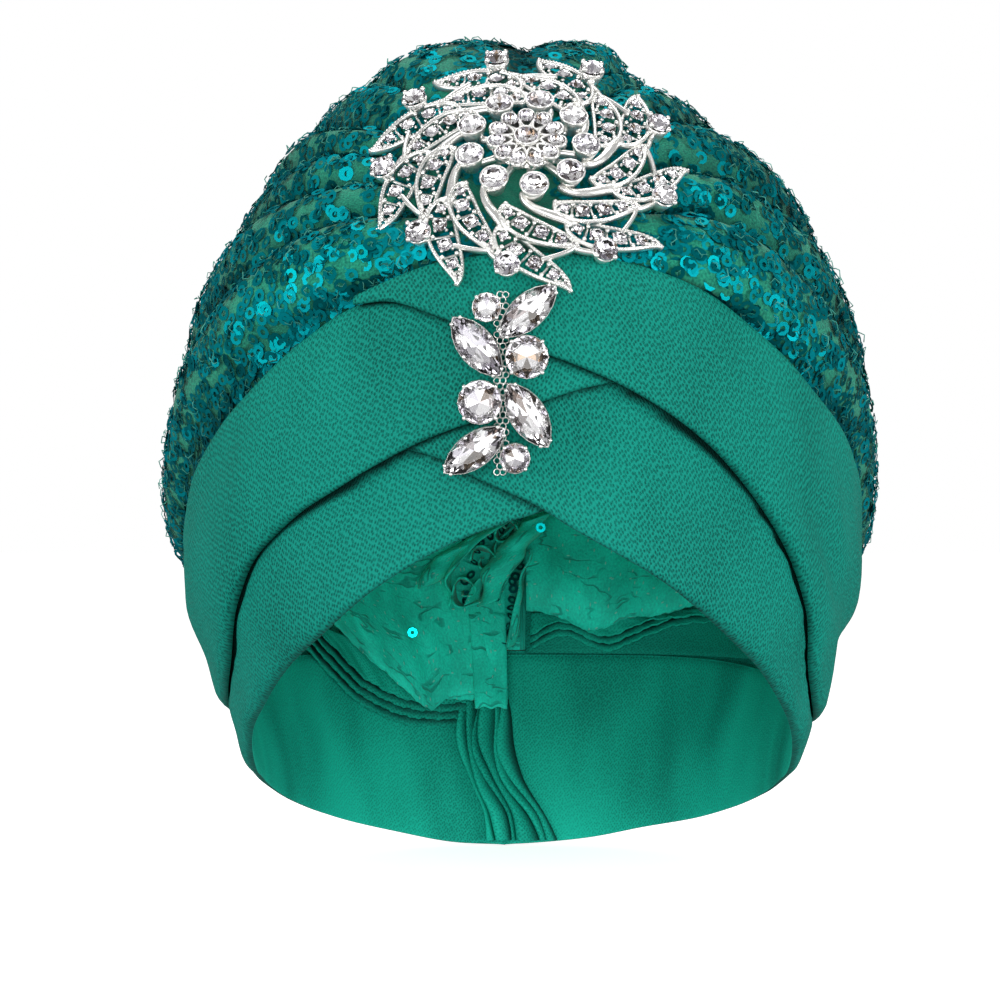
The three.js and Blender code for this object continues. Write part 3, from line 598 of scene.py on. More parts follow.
# How dark the painted shade is in the valleys and at the crown's two edges.
VALLEY_PAINTED_SHADE = 0.78
EDGE_PAINTED_SHADE = 0.25
print("folds of the crown:", len(CROWN_VALLEYS) - 1)

# %% [markdown]
# The crown is a grid. Its first and last rows go in under the bands, and between them each fold adds its
# rows, from the front gather to the back one. A row keeps its painted shade, darkest down in the valleys
# and where the crown goes in under the bands.

# %% Crown folds
def band_top(turn):
    """The height of the line where the bands cover the crown's lower edge."""
    right, left = edge_rows("right_upper_band"), edge_rows("left_upper_band")
    return np.where(turn < right[0, 0], curve(left, turn, 2), curve(right, turn, 2))


def tucked_row(side, share, along):
    turn = side * 180 * along
    settled = smooth(*CROWN_LIFT["settle"], np.abs(turn))
    behind = smooth(112, 140, np.abs(turn))
    drop = share * mix(mix(CROWN_TUCK["front"], CROWN_TUCK["side"], settled), CROWN_TUCK["back"], behind)
    lift = mix(CROWN_LIFT["front"], CROWN_LIFT["side"], settled)
    return form_point(turn, band_top(turn) + CROWN_RISE - drop, lift)


def folded_row(angle, share, fold_height, valley, along):
    low_start, low_end = tucked_row(1, 0, np.array([0.0, 1.0]))
    start, end = mix(low_start, FRONT_GATHER, share), mix(low_end, BACK_GATHER, share)
    side, up = np.sin(np.radians(angle)), np.cos(np.radians(angle))
    half_width = CROWN_HALF_WIDTH + CROWN_REAR_PUFF * smooth(0.4, 0.62, along)
    swell = np.stack([half_width * side, CROWN_LEAN * up, CROWN_TOP_SWELL * up], -1)
    swell *= (np.maximum(np.sin(np.pi * along), 0) ** mix(0.95, 0.85, side * side))[:, None]
    swell[:, 2] -= CROWN_REAR_DROP * side**4 * smooth(0.4, 0.55, along) * smooth(0.72, 0.58, along)
    middle = (start + end) / 2
    point = middle - (end - middle) * np.cos(np.pi * along)[:, None] + swell
    outward = unit(point - CROWN_MIDDLE)
    gathered = smooth(0.03, mix(0.32, 0.17, side * side), along) * smooth(1, 0.8, along)
    dip = valley * smooth(0.02, 0.12, along) * smooth(1, 0.9, along)
    return point + outward * (gathered * fold_height - dip)[:, None]


def crown_rows(along):
    """The crown's rows of points from its left edge to its right, and the painted shade at each point."""
    top = CROWN_VALLEYS[:, 5].sum() / 2
    drift = smooth(0.1, 0.34, along)
    flat = np.zeros_like(along)
    # The rows that go in under the bands carry painted shade: full on the hidden row, half at the band's
    # edge.
    rows = [(tucked_row(-1, 1, along), flat + 1), (tucked_row(-1, 0, along), flat + 0.5)]
    done = 0
    for number, (here, after) in enumerate(zip(CROWN_VALLEYS, CROWN_VALLEYS[1:])):
        first, last = mix(here[0], here[1], drift), mix(after[0], after[1], drift)
        height, crest, count = here[3], here[4], int(here[5])
        steps = count * ROWS_PER_FACET
        lip_depth, foot_depth = (after[2], here[2]) if crest > 0.5 else (here[2], after[2])
        foot_reach, foot_dark = (FOOT_SHADE, VALLEY_PAINTED_SHADE) if foot_depth > 0 else (EDGE_SHADE, EDGE_PAINTED_SHADE)
        for k in range(min(number, 1), steps + 1):
            t = 0.5 - 0.5 * math.cos(math.pi * k / steps)
            from_lip = 1 - t if crest > 0.5 else t
            tall = height * max(0.0, math.sin(math.pi * t ** (math.log(0.5) / math.log(crest)))) ** 0.6
            wave = 1 + 0.2 * np.sin(9 * along + 0.37 * here[0]) * smooth(0.1, 0.3, along)
            pucker = 0.5 * np.sin(31 * along + 5.0 * t + here[0]) * np.sin(14 * along - 3.0 * t)
            pucker = pucker * smooth(0.1, 0.2, along)
            lip, foot = from_lip / LIP_WIDTH, (1 - from_lip) / FOOT_WIDTH
            dip = lip_depth * math.exp(-(lip**2)) + foot_depth * math.exp(-(foot**2))
            share = 1 - abs(done + t * count - top) / (top + 1)
            row = folded_row(mix(first, last, t), share, (tall + pucker) * wave, dip, along)
            # Painted shade beside each valley, reaching further on the side that lies under the lip.
            lip, foot = from_lip / LIP_SHADE, (1 - from_lip) / foot_reach
            lip_dark = VALLEY_PAINTED_SHADE if lip_depth > 0 else 0.0
            shade = max(lip_dark * math.exp(-(lip**2)), foot_dark * math.exp(-(foot**2)))
            rows.append((row, flat + shade * smooth(0.02, 0.1, along) * smooth(1, 0.9, along)))
        done += count
    rows += [(tucked_row(1, 0, along), flat + 0.5), (tucked_row(1, 1, along), flat + 1)]
    return np.array([row for row, _ in rows]), np.array([painted_shade for _, painted_shade in rows])


crown_along = np.linspace(0, 1, CROWN_COLUMNS)
crown_grid, crown_painted_shade = crown_rows(crown_along)
print("crown rows and columns:", crown_grid.shape[:2])

# %% [markdown]
# Under the sequins the ground is a fuzzy green tricot with a yellower grain, and painted shade darkens it
# down in the valleys and at its edges under the bands. Its wrong side, seen inside, is smoother, with the
# pale back stitches of the sequin thread and with soft creases and dark crinkles that are bumped and have
# their light and dark painted into the colour. Its colours are lighter than the ground's, partly its own
# paler colour and partly painted light for the dimmer inside, and painted shade darkens it where other
# cloth covers it. All of it is noise on the cloth's flat map, apart from the stitches, which are stretched
# cells.

# %% Sequin cloth finishes
GROUND = Finish("sequin_ground", {"Roughness": 0.85, "Specular IOR Level": 0.15, "Sheen Weight": 0.12})
grain = GROUND.noise(GROUND.cloth_place(), 1500.0, 3.0)
patch = GROUND.noise(GROUND.cloth_place(), 90.0)
pile = GROUND.step(grain * 1.3 + patch * 0.5, 0.55, 1.25)
fleece = GROUND.blend(pile, colour(0.002, 0.12, 0.088), colour(0.018, 0.33, 0.20))
GROUND.wear(
    # Painted shade: the ground blends to near black down in the valleys and under the bands.
    colour=GROUND.blend(GROUND.attribute("tuck"), fleece, colour(0.0, 0.016, 0.014)),
    normal=GROUND.bump(grain, 0.8, 0.4 * MM),
)

WRONG_SIDE_PAINTED_LIGHT = Finish("wrong_side", {"Roughness": 0.7, "Specular IOR Level": 0.25, "Sheen Weight": 0.08})
weave = WRONG_SIDE_PAINTED_LIGHT.noise(WRONG_SIDE_PAINTED_LIGHT.cloth_place(), 1400.0, 2.0)
crease = WRONG_SIDE_PAINTED_LIGHT.noise(WRONG_SIDE_PAINTED_LIGHT.cloth_place(turn=20, scale=(1, 1.2, 1)), 75.0, 3.0)
level = WRONG_SIDE_PAINTED_LIGHT.noise(WRONG_SIDE_PAINTED_LIGHT.cloth_place(turn=-14, scale=(2.4, 0.8, 1)), 70.0, 2.0) - 0.5
broken = WRONG_SIDE_PAINTED_LIGHT.step(WRONG_SIDE_PAINTED_LIGHT.noise(WRONG_SIDE_PAINTED_LIGHT.cloth_place(turn=50), 110.0), 0.46, 0.6)
crinkle = (1 - WRONG_SIDE_PAINTED_LIGHT.step(level * level, 0.00002, 0.0006)) * broken
dash_one = WRONG_SIDE_PAINTED_LIGHT.cells(WRONG_SIDE_PAINTED_LIGHT.cloth_place(turn=65, scale=(0.7, 1.5, 1)), 150, 1.0)
dash_two = WRONG_SIDE_PAINTED_LIGHT.cells(WRONG_SIDE_PAINTED_LIGHT.cloth_place(turn=150, scale=(1.5, 0.7, 1)), 130, 1.0)
dashes = 1 - WRONG_SIDE_PAINTED_LIGHT.step(dash_one, 0.03, 0.07) * WRONG_SIDE_PAINTED_LIGHT.step(dash_two, 0.03, 0.06)
# Painted light and shade of the folds: the creases lighten and darken the colour, the crinkles darken it.
woven = WRONG_SIDE_PAINTED_LIGHT.step(weave * 0.45 + crease * 0.75, 0.3, 0.95)
# Colours lighter than the ground's: partly the wrong side's own paler colour, partly painted light.
plain = WRONG_SIDE_PAINTED_LIGHT.blend(woven, colour(0.004, 0.46, 0.33), colour(0.012, 0.98, 0.72))
crinkle_shaded = WRONG_SIDE_PAINTED_LIGHT.blend(crinkle * 0.55, plain, colour(0.002, 0.16, 0.12))
stitched = WRONG_SIDE_PAINTED_LIGHT.blend(dashes * 0.5, crinkle_shaded, colour(0.30, 0.72, 0.60))
WRONG_SIDE_PAINTED_LIGHT.wear(
    # Painted shade: near black where the mark says other cloth covers it.
    colour=WRONG_SIDE_PAINTED_LIGHT.blend(WRONG_SIDE_PAINTED_LIGHT.attribute("tuck"), stitched, colour(0.0, 0.03, 0.024)),
    normal=WRONG_SIDE_PAINTED_LIGHT.bump(weave * 0.15 + crease + dashes * 0.2 - crinkle * 0.4, 0.7, 1.6 * MM),
)
print("sequin cloth:", GROUND.material.name, WRONG_SIDE_PAINTED_LIGHT.material.name)

# %% [markdown]
# The grid becomes cloth with a right and a wrong side. Its rows end on the two gathered lines at the front
# and the back, where the left and right halves share their points, so that the wall is closed there.

# %% Crown cloth
crown_shape = Shape()
crown_index = np.arange(crown_grid.shape[0] * CROWN_COLUMNS).reshape(crown_grid.shape[:2])
for column in (0, CROWN_COLUMNS - 1):
    crown_index[:, column] = np.minimum(crown_index[:, column], crown_index[::-1, column])
corners = [crown_index[:-1, :-1], crown_index[1:, :-1], crown_index[1:, 1:], crown_index[:-1, 1:]]
crown_quads = np.stack(corners, -1).reshape(-1, 4)
crown_quads = crown_quads[[len(set(quad)) > 2 for quad in crown_quads.tolist()]]
crown_points = crown_grid.reshape(-1, 3)
crown_flat = grid_lengths(crown_grid)
crown_map = crown_flat.reshape(-1, 2)
add_wall(crown_shape, crown_points, crown_quads, CROWN_WALL, crown_map, 0, 1, crown_painted_shade.ravel())
pieces["crown"] = crown_shape.piece("crown_cloth", [GROUND, WRONG_SIDE_PAINTED_LIGHT])

# %% [markdown]
# A tree that repeats a shape along threads or on set points does the small work: sequins, beads, wire
# rings, claws and stitches. The threads are plain edges that carry their own way out of the cloth. Each
# tree ends in real geometry with its finish, because the export keeps no instances.

# %% Repeating trees
class Repeat(Tree):
    """A Geometry Nodes tree that sets a shape again and again."""

    def __init__(self, name, inputs):
        group = bpy.data.node_groups.new(name, "GeometryNodeTree")
        super().__init__(group)
        group.interface.new_socket("Geometry", in_out="INPUT", socket_type="NodeSocketGeometry")
        for label, kind in inputs.items():
            group.interface.new_socket(label, in_out="INPUT", socket_type=kind)
        group.interface.new_socket("Geometry", in_out="OUTPUT", socket_type="NodeSocketGeometry")
        self.given = group.nodes.new("NodeGroupInput")
        self.result = group.nodes.new("NodeGroupOutput")

    def input(self, name):
        return Wire(self, self.given.outputs[name])

    def named(self, name, kind):
        return self.node("GeometryNodeInputNamedAttribute", {"data_type": kind}, {"Name": name})

    def random(self, low, high, seed):
        sockets = {2: low, 3: high, "Seed": seed}
        return self.node("FunctionNodeRandomValue", {"data_type": "FLOAT"}, sockets, out=1)


def repeat_tree(name, on_threads):
    numbers = ("Pitch", "Size", "Size Spread", "Tilt", "Lift")
    inputs = {"Shape": "NodeSocketObject", "Finish": "NodeSocketMaterial", "Seed": "NodeSocketInt"}
    tree = Repeat(name, inputs | {label: "NodeSocketFloat" for label in numbers})
    seed = tree.input("Seed")
    if on_threads:
        lines = tree.node("GeometryNodeMeshToCurve", {}, {"Mesh": tree.input("Geometry")})
        spaced = {"Curve": lines, "Length": tree.input("Pitch")}
        points = tree.node("GeometryNodeResampleCurve", {"mode": "LENGTH"}, spaced)
    else:
        points = tree.node("GeometryNodeMeshToPoints", {}, {"Mesh": tree.input("Geometry")})
    out = tree.named("out", "FLOAT_VECTOR")
    lean = tree.input("Tilt")
    tilt = tree.node("ShaderNodeCombineXYZ", {}, {
        "X": lean * tree.random(-1.0, 1.0, seed),
        "Y": lean * tree.random(-1.0, 1.0, seed + 1),
        "Z": tree.named("spin", "FLOAT"),
    })
    turned = tree.node("FunctionNodeAlignRotationToVector", {"axis": "Z"}, {"Vector": out})
    tilted = {"Rotation": turned, "Rotate By": tilt}
    turned = tree.node("FunctionNodeRotateRotation", {"rotation_space": "LOCAL"}, tilted)
    rise = tree.input("Lift") * tree.random(0.3, 1.0, seed + 2)
    offset = tree.node("ShaderNodeVectorMath", {"operation": "SCALE"}, {0: out, "Scale": rise})
    points = tree.node("GeometryNodeSetPosition", {}, {"Geometry": points, "Offset": offset})
    size = tree.input("Size") * (1 + tree.input("Size Spread") * tree.random(-1.0, 1.0, seed + 3))
    size = size * tree.named("size", "FLOAT")
    shape = tree.node("GeometryNodeObjectInfo", {}, {"Object": tree.input("Shape")}, out=4)
    placed = {"Points": points, "Instance": shape, "Rotation": turned, "Scale": size}
    made = tree.node("GeometryNodeInstanceOnPoints", {}, placed)
    tint = tree.random(0.0, 1.0, seed + 4)
    stored = {"Geometry": made, "Name": "tint", "Value": tint}
    made = tree.node("GeometryNodeStoreNamedAttribute", {"data_type": "FLOAT", "domain": "INSTANCE"}, stored)
    made = tree.node("GeometryNodeRealizeInstances", {}, {"Geometry": made})
    made = tree.node("GeometryNodeSetMaterial", {}, {"Geometry": made, "Material": tree.input("Finish")})
    tree.feed(tree.result, {0: made})
    return tree


THREADED = repeat_tree("threaded", True)
SET_ON_POINTS = repeat_tree("set_on_points", False)
print("repeating trees:", THREADED.nodes.name, SET_ON_POINTS.nodes.name)

# %% [markdown]
# To run a tree, the threads become a mesh of edges or points with named attributes. The tree's inputs are
# set by their identifiers before the first evaluation, and the result is kept as a plain mesh without the
# modifier.

# %% Running a tree
def repeated(name, tree, threads, shape, finish, values):
    """Runs a tree on threads, each (points, ways out, sizes, spins, painted shade), and returns one plain
    piece.
    """
    lines = bpy.data.meshes.new(name + "_threads")
    edges, start = [], 0
    for thread in threads:
        n = len(thread[0])
        if tree is THREADED:
            edges += [(start + k, start + k + 1) for k in range(n - 1)]
        start += n
    places = np.concatenate([thread[0] for thread in threads])
    lines.from_pydata((places * MM).tolist(), edges, [])
    for column, label in enumerate(("out", "size", "spin", "painted_shade"), 1):
        kind, field, wide = ("FLOAT_VECTOR", "vector", (3,)) if label == "out" else ("FLOAT", "value", ())
        data = [np.broadcast_to(thread[column], (len(thread[0]), *wide)) for thread in threads]
        data = np.concatenate(data).astype(np.float32)
        lines.attributes.new(label, kind, "POINT").data.foreach_set(field, data.ravel())
    source = bpy.data.objects.new(name, lines)
    scene.collection.objects.link(source)
    modifier = source.modifiers.new("repeat", "NODES")
    modifier.node_group = tree.nodes
    given = {"Shape": shape, "Finish": finish.material, "Pitch": MM, "Size": 1.0, "Seed": 1} | values
    for item in tree.nodes.interface.items_tree:
        if item.in_out == "INPUT" and item.name in given:
            modifier[item.identifier] = given[item.name]
    depsgraph = bpy.context.evaluated_depsgraph_get()
    grown = source.evaluated_get(depsgraph)
    mesh = bpy.data.meshes.new_from_object(grown, preserve_all_data_layers=True, depsgraph=depsgraph)
    source.modifiers.remove(modifier)
    source.data = mesh
    mesh.name = name
    bpy.data.meshes.remove(lines)
    print(f"{name}: {len(mesh.polygons)} faces")
    return source


def drop(helper):
    """Takes a shape that was only there to be repeated out of the scene."""
    bpy.data.objects.remove(helper)


print("a tree can be run")

# %% [markdown]
# Sequins are thin cupped rings of teal film, just under four millimetres wide, sewn on in looping lines
# so that they overlap in some places and let the ground show in others. Most mirror the dim room and look
# dark; the few that face a soft box flash cyan, so the film is metal with its own tint for each ring and
# the tilt is random. Ends and loops of the pale sewing thread stand out between them.

# %% Sequin and floss
SEQUIN = {"width": 3.9, "hole": 0.42, "thickness": 0.16, "sides": 8}
FILM = Finish("sequin_film", {"Metallic": 0.9, "Specular Tint": colour(0.05, 0.55, 0.62)})
tint = FILM.attribute("tint")
film = FILM.blend(tint, colour(0.0, 0.16, 0.175), colour(0.002, 0.36, 0.42))
FILM.wear(
    # Painted shade: the film goes near black down in the valleys and in the rolls.
    colour=FILM.blend(FILM.attribute("painted_shade"), film, colour(0.0, 0.02, 0.02)),
    roughness=0.34 + tint * 0.2,
)
# A much brighter copy of the sequin film for the two loose sequins: painted light, so that they flash.
PAINTED_LIGHT_FILM = Finish("bright_film", {"Metallic": 1.0, "Roughness": 0.3})
painted_flash = PAINTED_LIGHT_FILM.blend(PAINTED_LIGHT_FILM.attribute("tint"), colour(0.0, 0.78, 0.84), colour(0.01, 0.95, 1.0))
PAINTED_LIGHT_FILM.wear(colour=painted_flash)
FLOSS = Finish("sewing_floss", {"Roughness": 0.6, "Specular IOR Level": 0.2})
strand = FLOSS.blend(FLOSS.attribute("tint"), colour(0.008, 0.22, 0.17), colour(0.09, 0.42, 0.34))
# Painted shade darkens the thread the same way.
FLOSS.wear(colour=FLOSS.blend(FLOSS.attribute("painted_shade"), strand, colour(0.0, 0.03, 0.026)))


def sequin_shape():
    turns = np.linspace(0, 2 * np.pi, SEQUIN["sides"], endpoint=False)
    ring = np.stack([np.cos(turns), np.sin(turns), np.zeros_like(turns)], -1)
    outer, inner = SEQUIN["width"] / 2, SEQUIN["width"] / 2 * SEQUIN["hole"]
    down = np.array([0, 0, -SEQUIN["thickness"]])
    rows = [ring * outer, ring * inner, ring * (outer + inner) / 2 + down]
    n = len(turns)
    faces = []
    for row, below in ((0, n), (n, 2 * n), (2 * n, 0)):
        faces += [(row + k, row + (k + 1) % n, below + (k + 1) % n, below + k) for k in range(n)]
    shape = Shape()
    shape.add(np.concatenate(rows), faces)
    return shape.piece("sequin", [FILM], smooth=False)


def floss_shape():
    """A loop of thread that stands up a little off the cloth: a thin three-sided arch."""
    t = np.linspace(0, 1, 4)
    path = np.stack([3.4 * (t - 0.5), 0.7 * np.sin(2 * np.pi * t), 1.3 * np.sin(np.pi * t)], -1)
    shape = Shape()
    add_sweep(shape, path, (0, 0, 1), np.array([(-0.13, -0.08), (0.13, -0.08), (0, 0.14)]))
    return shape.piece("floss", [FLOSS])


sequin, floss = sequin_shape(), floss_shape()

# %% [markdown]
# The sewing lines loop and wander along the crown from front to back, and two more follow each lower edge
# at the front. A line is laid by its distance from the crown's top row and its share of the way along,
# and it keeps only the stretches that lie on open cloth. The lines are sewn in four parts, to keep each
# piece small.

# %% Sequin lines
THREAD_SPACING = 6.0
LOOP_LENGTH = 12.0
LOOP_REACH = 2.7
OPEN_SHADE = 0.95
EDGE_ROWS = (1.8, 5.4)
EDGE_REACH = 0.52
TOP_SHARE = 0.42
rng = np.random.default_rng(7)
crown_normals = sheet_normals(crown_points, crown_quads).reshape(crown_grid.shape)
crown_lengths = np.zeros(crown_grid.shape[:2])
crown_lengths[1:] = np.cumsum(np.linalg.norm(np.diff(crown_grid, axis=0), axis=-1), axis=0)
top_row = crown_grid.shape[0] // 2


def on_crown(aside, along):
    """Points and ways out on the crown's cloth, at distances aside from its top row and shares along it."""
    column = np.clip(along, 0.0, 1.0) * (CROWN_COLUMNS - 1)
    j = np.clip(column.astype(int), 1, CROWN_COLUMNS - 3)
    t = (column - j)[:, None]
    places, ways, painted_shade, inside = [], [], [], []
    for k in range(len(aside)):
        lengths = crown_lengths[:, j[k]] - crown_lengths[top_row, j[k]]
        inside.append(lengths[1] - 0.5 < aside[k] < lengths[-2] + 0.5)
        i = np.clip(np.searchsorted(lengths, aside[k]) - 1, 0, len(lengths) - 2)
        s = (aside[k] - lengths[i]) / max(lengths[i + 1] - lengths[i], 1e-6)
        here = mix(crown_grid[i, j[k]], crown_grid[i + 1, j[k]], s)
        next_one = mix(crown_grid[i, j[k] + 1], crown_grid[i + 1, j[k] + 1], s)
        places.append(mix(here, next_one, t[k]))
        ways.append(mix(crown_normals[i, j[k]], crown_normals[i + 1, j[k]], s))
        painted_shade.append(mix(crown_painted_shade[i, j[k]], crown_painted_shade[i + 1, j[k]], s))
    return np.array(places), unit(np.array(ways)), np.array(painted_shade), np.array(inside)


def open_stretches(aside, along):
    """The stretches of a thread that lie on open cloth."""
    places, ways, painted_shade, inside = on_crown(aside, along)
    places += ways * (CROWN_WALL / 2 + 0.15)
    kept = inside & (painted_shade < OPEN_SHADE)
    ends = np.flatnonzero(np.diff(np.concatenate([[0], kept.astype(int), [0]])))
    stretches = []
    for first, last in zip(ends[::2], ends[1::2]):
        if last - first > 3:
            spins = np.repeat(rng.uniform(0, 6.3), last - first) + np.arange(last - first) * 1.7
            stretches.append((places[first:last], ways[first:last], 1.0, spins, painted_shade[first:last]))
    return stretches


def sequin_threads():
    reach = (crown_lengths[-1] - crown_lengths[0]).max() / 2
    length = np.linalg.norm(np.diff(crown_grid[top_row], axis=0), axis=-1).sum()
    distance = np.arange(8, length - 4, 1.0)
    threads = {"left": [], "top_left": [], "top_right": [], "right": []}
    for start in np.arange(-reach, reach, THREAD_SPACING):
        loop = 2 * np.pi * distance / LOOP_LENGTH + rng.uniform(0, 6.3)
        wander = 1.6 * np.sin(distance / 23 + rng.uniform(0, 6.3))
        aside = start + LOOP_REACH * np.sin(loop) + wander
        along = (distance + 3.0 * np.sin(2 * loop + rng.uniform(0, 6.3))) / length
        part = "top_" if abs(start) < TOP_SHARE * reach else ""
        side = part + ("left" if start < 0 else "right")
        threads[side] += open_stretches(aside, along)
    column = np.rint(distance / length * (CROWN_COLUMNS - 1)).astype(int)
    for side, row, inward in (("left", 1, 1), ("right", -2, -1)):
        edge = crown_lengths[row, column] - crown_lengths[top_row, column]
        for offset in EDGE_ROWS:
            wander = 0.8 * np.sin(distance / 2.3 + rng.uniform(0, 6.3))
            aside = edge + inward * (offset + wander)
            near = distance < EDGE_REACH * length
            threads[side] += open_stretches(aside[near], distance[near] / length)
    return threads


crown_threads = sequin_threads()
sequin_values = {"Pitch": 4.55 * MM, "Size Spread": 0.08, "Tilt": 0.25, "Lift": 0.8 * MM, "Seed": 11}
for side, threads in crown_threads.items():
    name = f"sequins_{side}"
    pieces[name] = repeated(name, THREADED, threads, sequin, FILM, sequin_values)
floss_values = {
    "Pitch": 14 * MM, "Size": 0.9, "Size Spread": 0.45, "Tilt": 0.6, "Lift": 0.5 * MM, "Seed": 23}
every_thread = [thread for threads in crown_threads.values() for thread in threads]
pieces["sequin_floss"] = repeated("sequin_floss", THREADED, every_thread, floss, FLOSS, floss_values)
drop(floss)

# %% [markdown]
# Inside, at the back, the seam allowances hang as turned flaps and stacked raw edges. Each is a thin
# sheet that starts on the head form and hangs away from it. A cloth simulation would settle them
# anywhere, and these have known places, so they are grids on the same form, a few millimetres further in,
# that ruffle towards the free edge.

# %% Seam flaps
SEAM_CLOTH = 0.55
LAYER_STEP = 1.7
# Each flap: lift at its top and its bottom edge, ruffle height, belly, layers, drop between layers, and
# the rows of its edges as turn, top, bottom.
SEAM_FLAPS = {
    "left_crown_flap": ((-3.0, -7.6), 0.9, 1.6, 1, 0, [
        (-178.5, -4, -63), (-166, -4, -61.5), (-162, -5, -64.7), (-152, -7, -55), (-142, -10, -44),
        (-132, -14, -31)]),
    "left_band_flap": ((-0.8, -0.8), 0.1, 0.0, 4, 2.6, [
        (-172, -44, -70.5), (-163, -44, -70.5), (-155, -44, -68.6), (-144, -42, -61.5), (-134.5, -38, -50.5),
        (-126, -34, -40)]),
    "right_crown_flap": ((-0.5, -7.5), 1.6, 4.0, 1, 0, [
        (122, -10, -24), (140, -6, -30), (151, -4, -34.3), (159, -3, -35.3), (168, -2, -39.5),
        (175.4, -2, -34.6), (179.5, -2, -33)]),
    "right_band_flap": ((-1.2, -2.2), 1.0, 0.0, 3, 2.4, [
        (118, -28, -31), (136, -31, -36), (148, -33, -37.5), (157, -34, -42), (165.4, -34, -46.3),
        (174.5, -34, -41.4), (179, -34, -45.9)]),
}
RUFFLE_TURNS = 14


def flap_grid(lift, ruffle, belly, rows, layer, layers, step):
    """One layer's grid, and the painted shade that the layer over it puts on each point."""
    edges = np.array(rows, float)
    turn = np.linspace(edges[0, 0], edges[-1, 0], 84)[:, None]
    down = np.linspace(0, 1, 14)[None]
    top = curve(edges, turn, 1)
    bottom = np.minimum(curve(edges, turn, 2) + layer * step, top - 2)
    wave = ruffle * down * (1 + np.cos(np.radians(turn) * RUFFLE_TURNS + 0.5 * layer))
    ragged = 0.35 * np.sin(turn * 1.9 + layer) * np.sin(turn * 0.77) * down
    crease = 0.5 * np.sin(turn * 0.9 + 7 * down) * np.sin(3.1 * down + turn * 0.2) * down
    height = mix(top, bottom, down) + ragged
    sag = belly * np.sin(np.pi * down**1.6)
    lifted = mix(lift[0], lift[1], down) - wave - crease - sag - LAYER_STEP * layer
    # Painted shade under the edge of the layer over this one.
    painted_cover_shade = np.exp(-((np.maximum(bottom + step - height, 0) / 1.3) ** 2))
    return form_point(turn, height, lifted), painted_cover_shade if layer < layers - 1 else 0.0


# The facing is a sheet flush on the inside wall under the right ruffles; it carries painted shade.
facing = {"turns": (116, 179.6), "top": -30, "bottom": -47.2, "lift": -0.5, "shade": 0.3}
turned_flap = {"turns": (-178.4, -172.3), "top": -34, "bottom": -64, "lift": (-7.6, -10.6)}
for name, (lift, ruffle, belly, layers, step, rows) in SEAM_FLAPS.items():
    shape = Shape()
    for layer in range(layers):
        grid, shade = flap_grid(lift, ruffle, belly, rows, layer, layers, step)
        add_sheet(shape, grid, SEAM_CLOTH, tuck=shade)
    if name == "left_crown_flap":
        turn = np.linspace(*turned_flap["turns"], 18)[:, None]
        down = np.linspace(0, 1, 24)[None]
        height = mix(turned_flap["top"], turned_flap["bottom"], down) + 0.4 * np.sin(turn * 2.3)
        lifted = mix(*turned_flap["lift"], down) + 0.5 * np.sin(turn * 1.1 + 4 * down)
        add_sheet(shape, form_point(turn, height, lifted), SEAM_CLOTH)
    if name == "right_band_flap":
        turn = np.linspace(*facing["turns"], 60)[:, None]
        height = np.linspace(facing["top"], facing["bottom"], 12)[None]
        add_sheet(shape, form_point(turn, height, facing["lift"]), SEAM_CLOTH, tuck=facing["shade"])
    finish = WRONG_SIDE_PAINTED_LIGHT if "crown" in name else CREPE_BACK_PAINTED_LIGHT
    pieces[name] = shape.piece(name + "_cloth", [finish])

# %% [markdown]
# Where the crown's ends are sewn together they make a twisted bunch: rolls of cloth, open at one side,
# with sequins caught inside them. A roll is a hooked section carried along a path and turned as it goes,
# and a curl is a spiral that comes forward. Sculpting would do it too, but rolls from a short table can
# still be moved.

# %% Gathered ends
def back_wall(x, height, stand):
    """A point that stands off the inside of the back."""
    x, height, stand = np.broadcast_arrays(x, height, stand)
    turned = np.minimum(np.abs(x) / curve(HEAD_FORM, height, 1), 1) ** (1 / BACK_SQUARENESS)
    depth = curve(HEAD_FORM, height, 3) * (1 - turned**2) ** (BACK_SQUARENESS / 2)
    return np.stack([x, depth - stand, height], -1)


# Each roll: radius, stand-off, first hook angle, twist, and the rows of its path as place, across,
# height.
GATHER_ROLLS = [
    (6.4, 9, 40, 170, [
        (0, 4.2, -0.5), (0.25, -5.5, -5.4), (0.5, -13.2, -13.1), (0.8, -17.3, -24.4), (1, -18.6, -31.5)]),
    (5.4, 12, -60, 130, [(0, 5.2, -3.2), (0.35, -0.6, -10.9), (0.7, -6.1, -19.6), (1, -9, -30.2)]),
    (5.0, 6.5, 100, -110, [(0, -9, -6.5), (0.4, -18, -12), (0.7, -24.5, -17), (1, -30, -25)]),
    (3.0, 8.5, 150, 70, [(0, 1.5, -14), (0.4, -2.3, -25), (0.7, -3.2, -34), (1, -4.4, -45)]),
]
HOOK_SPAN = 235
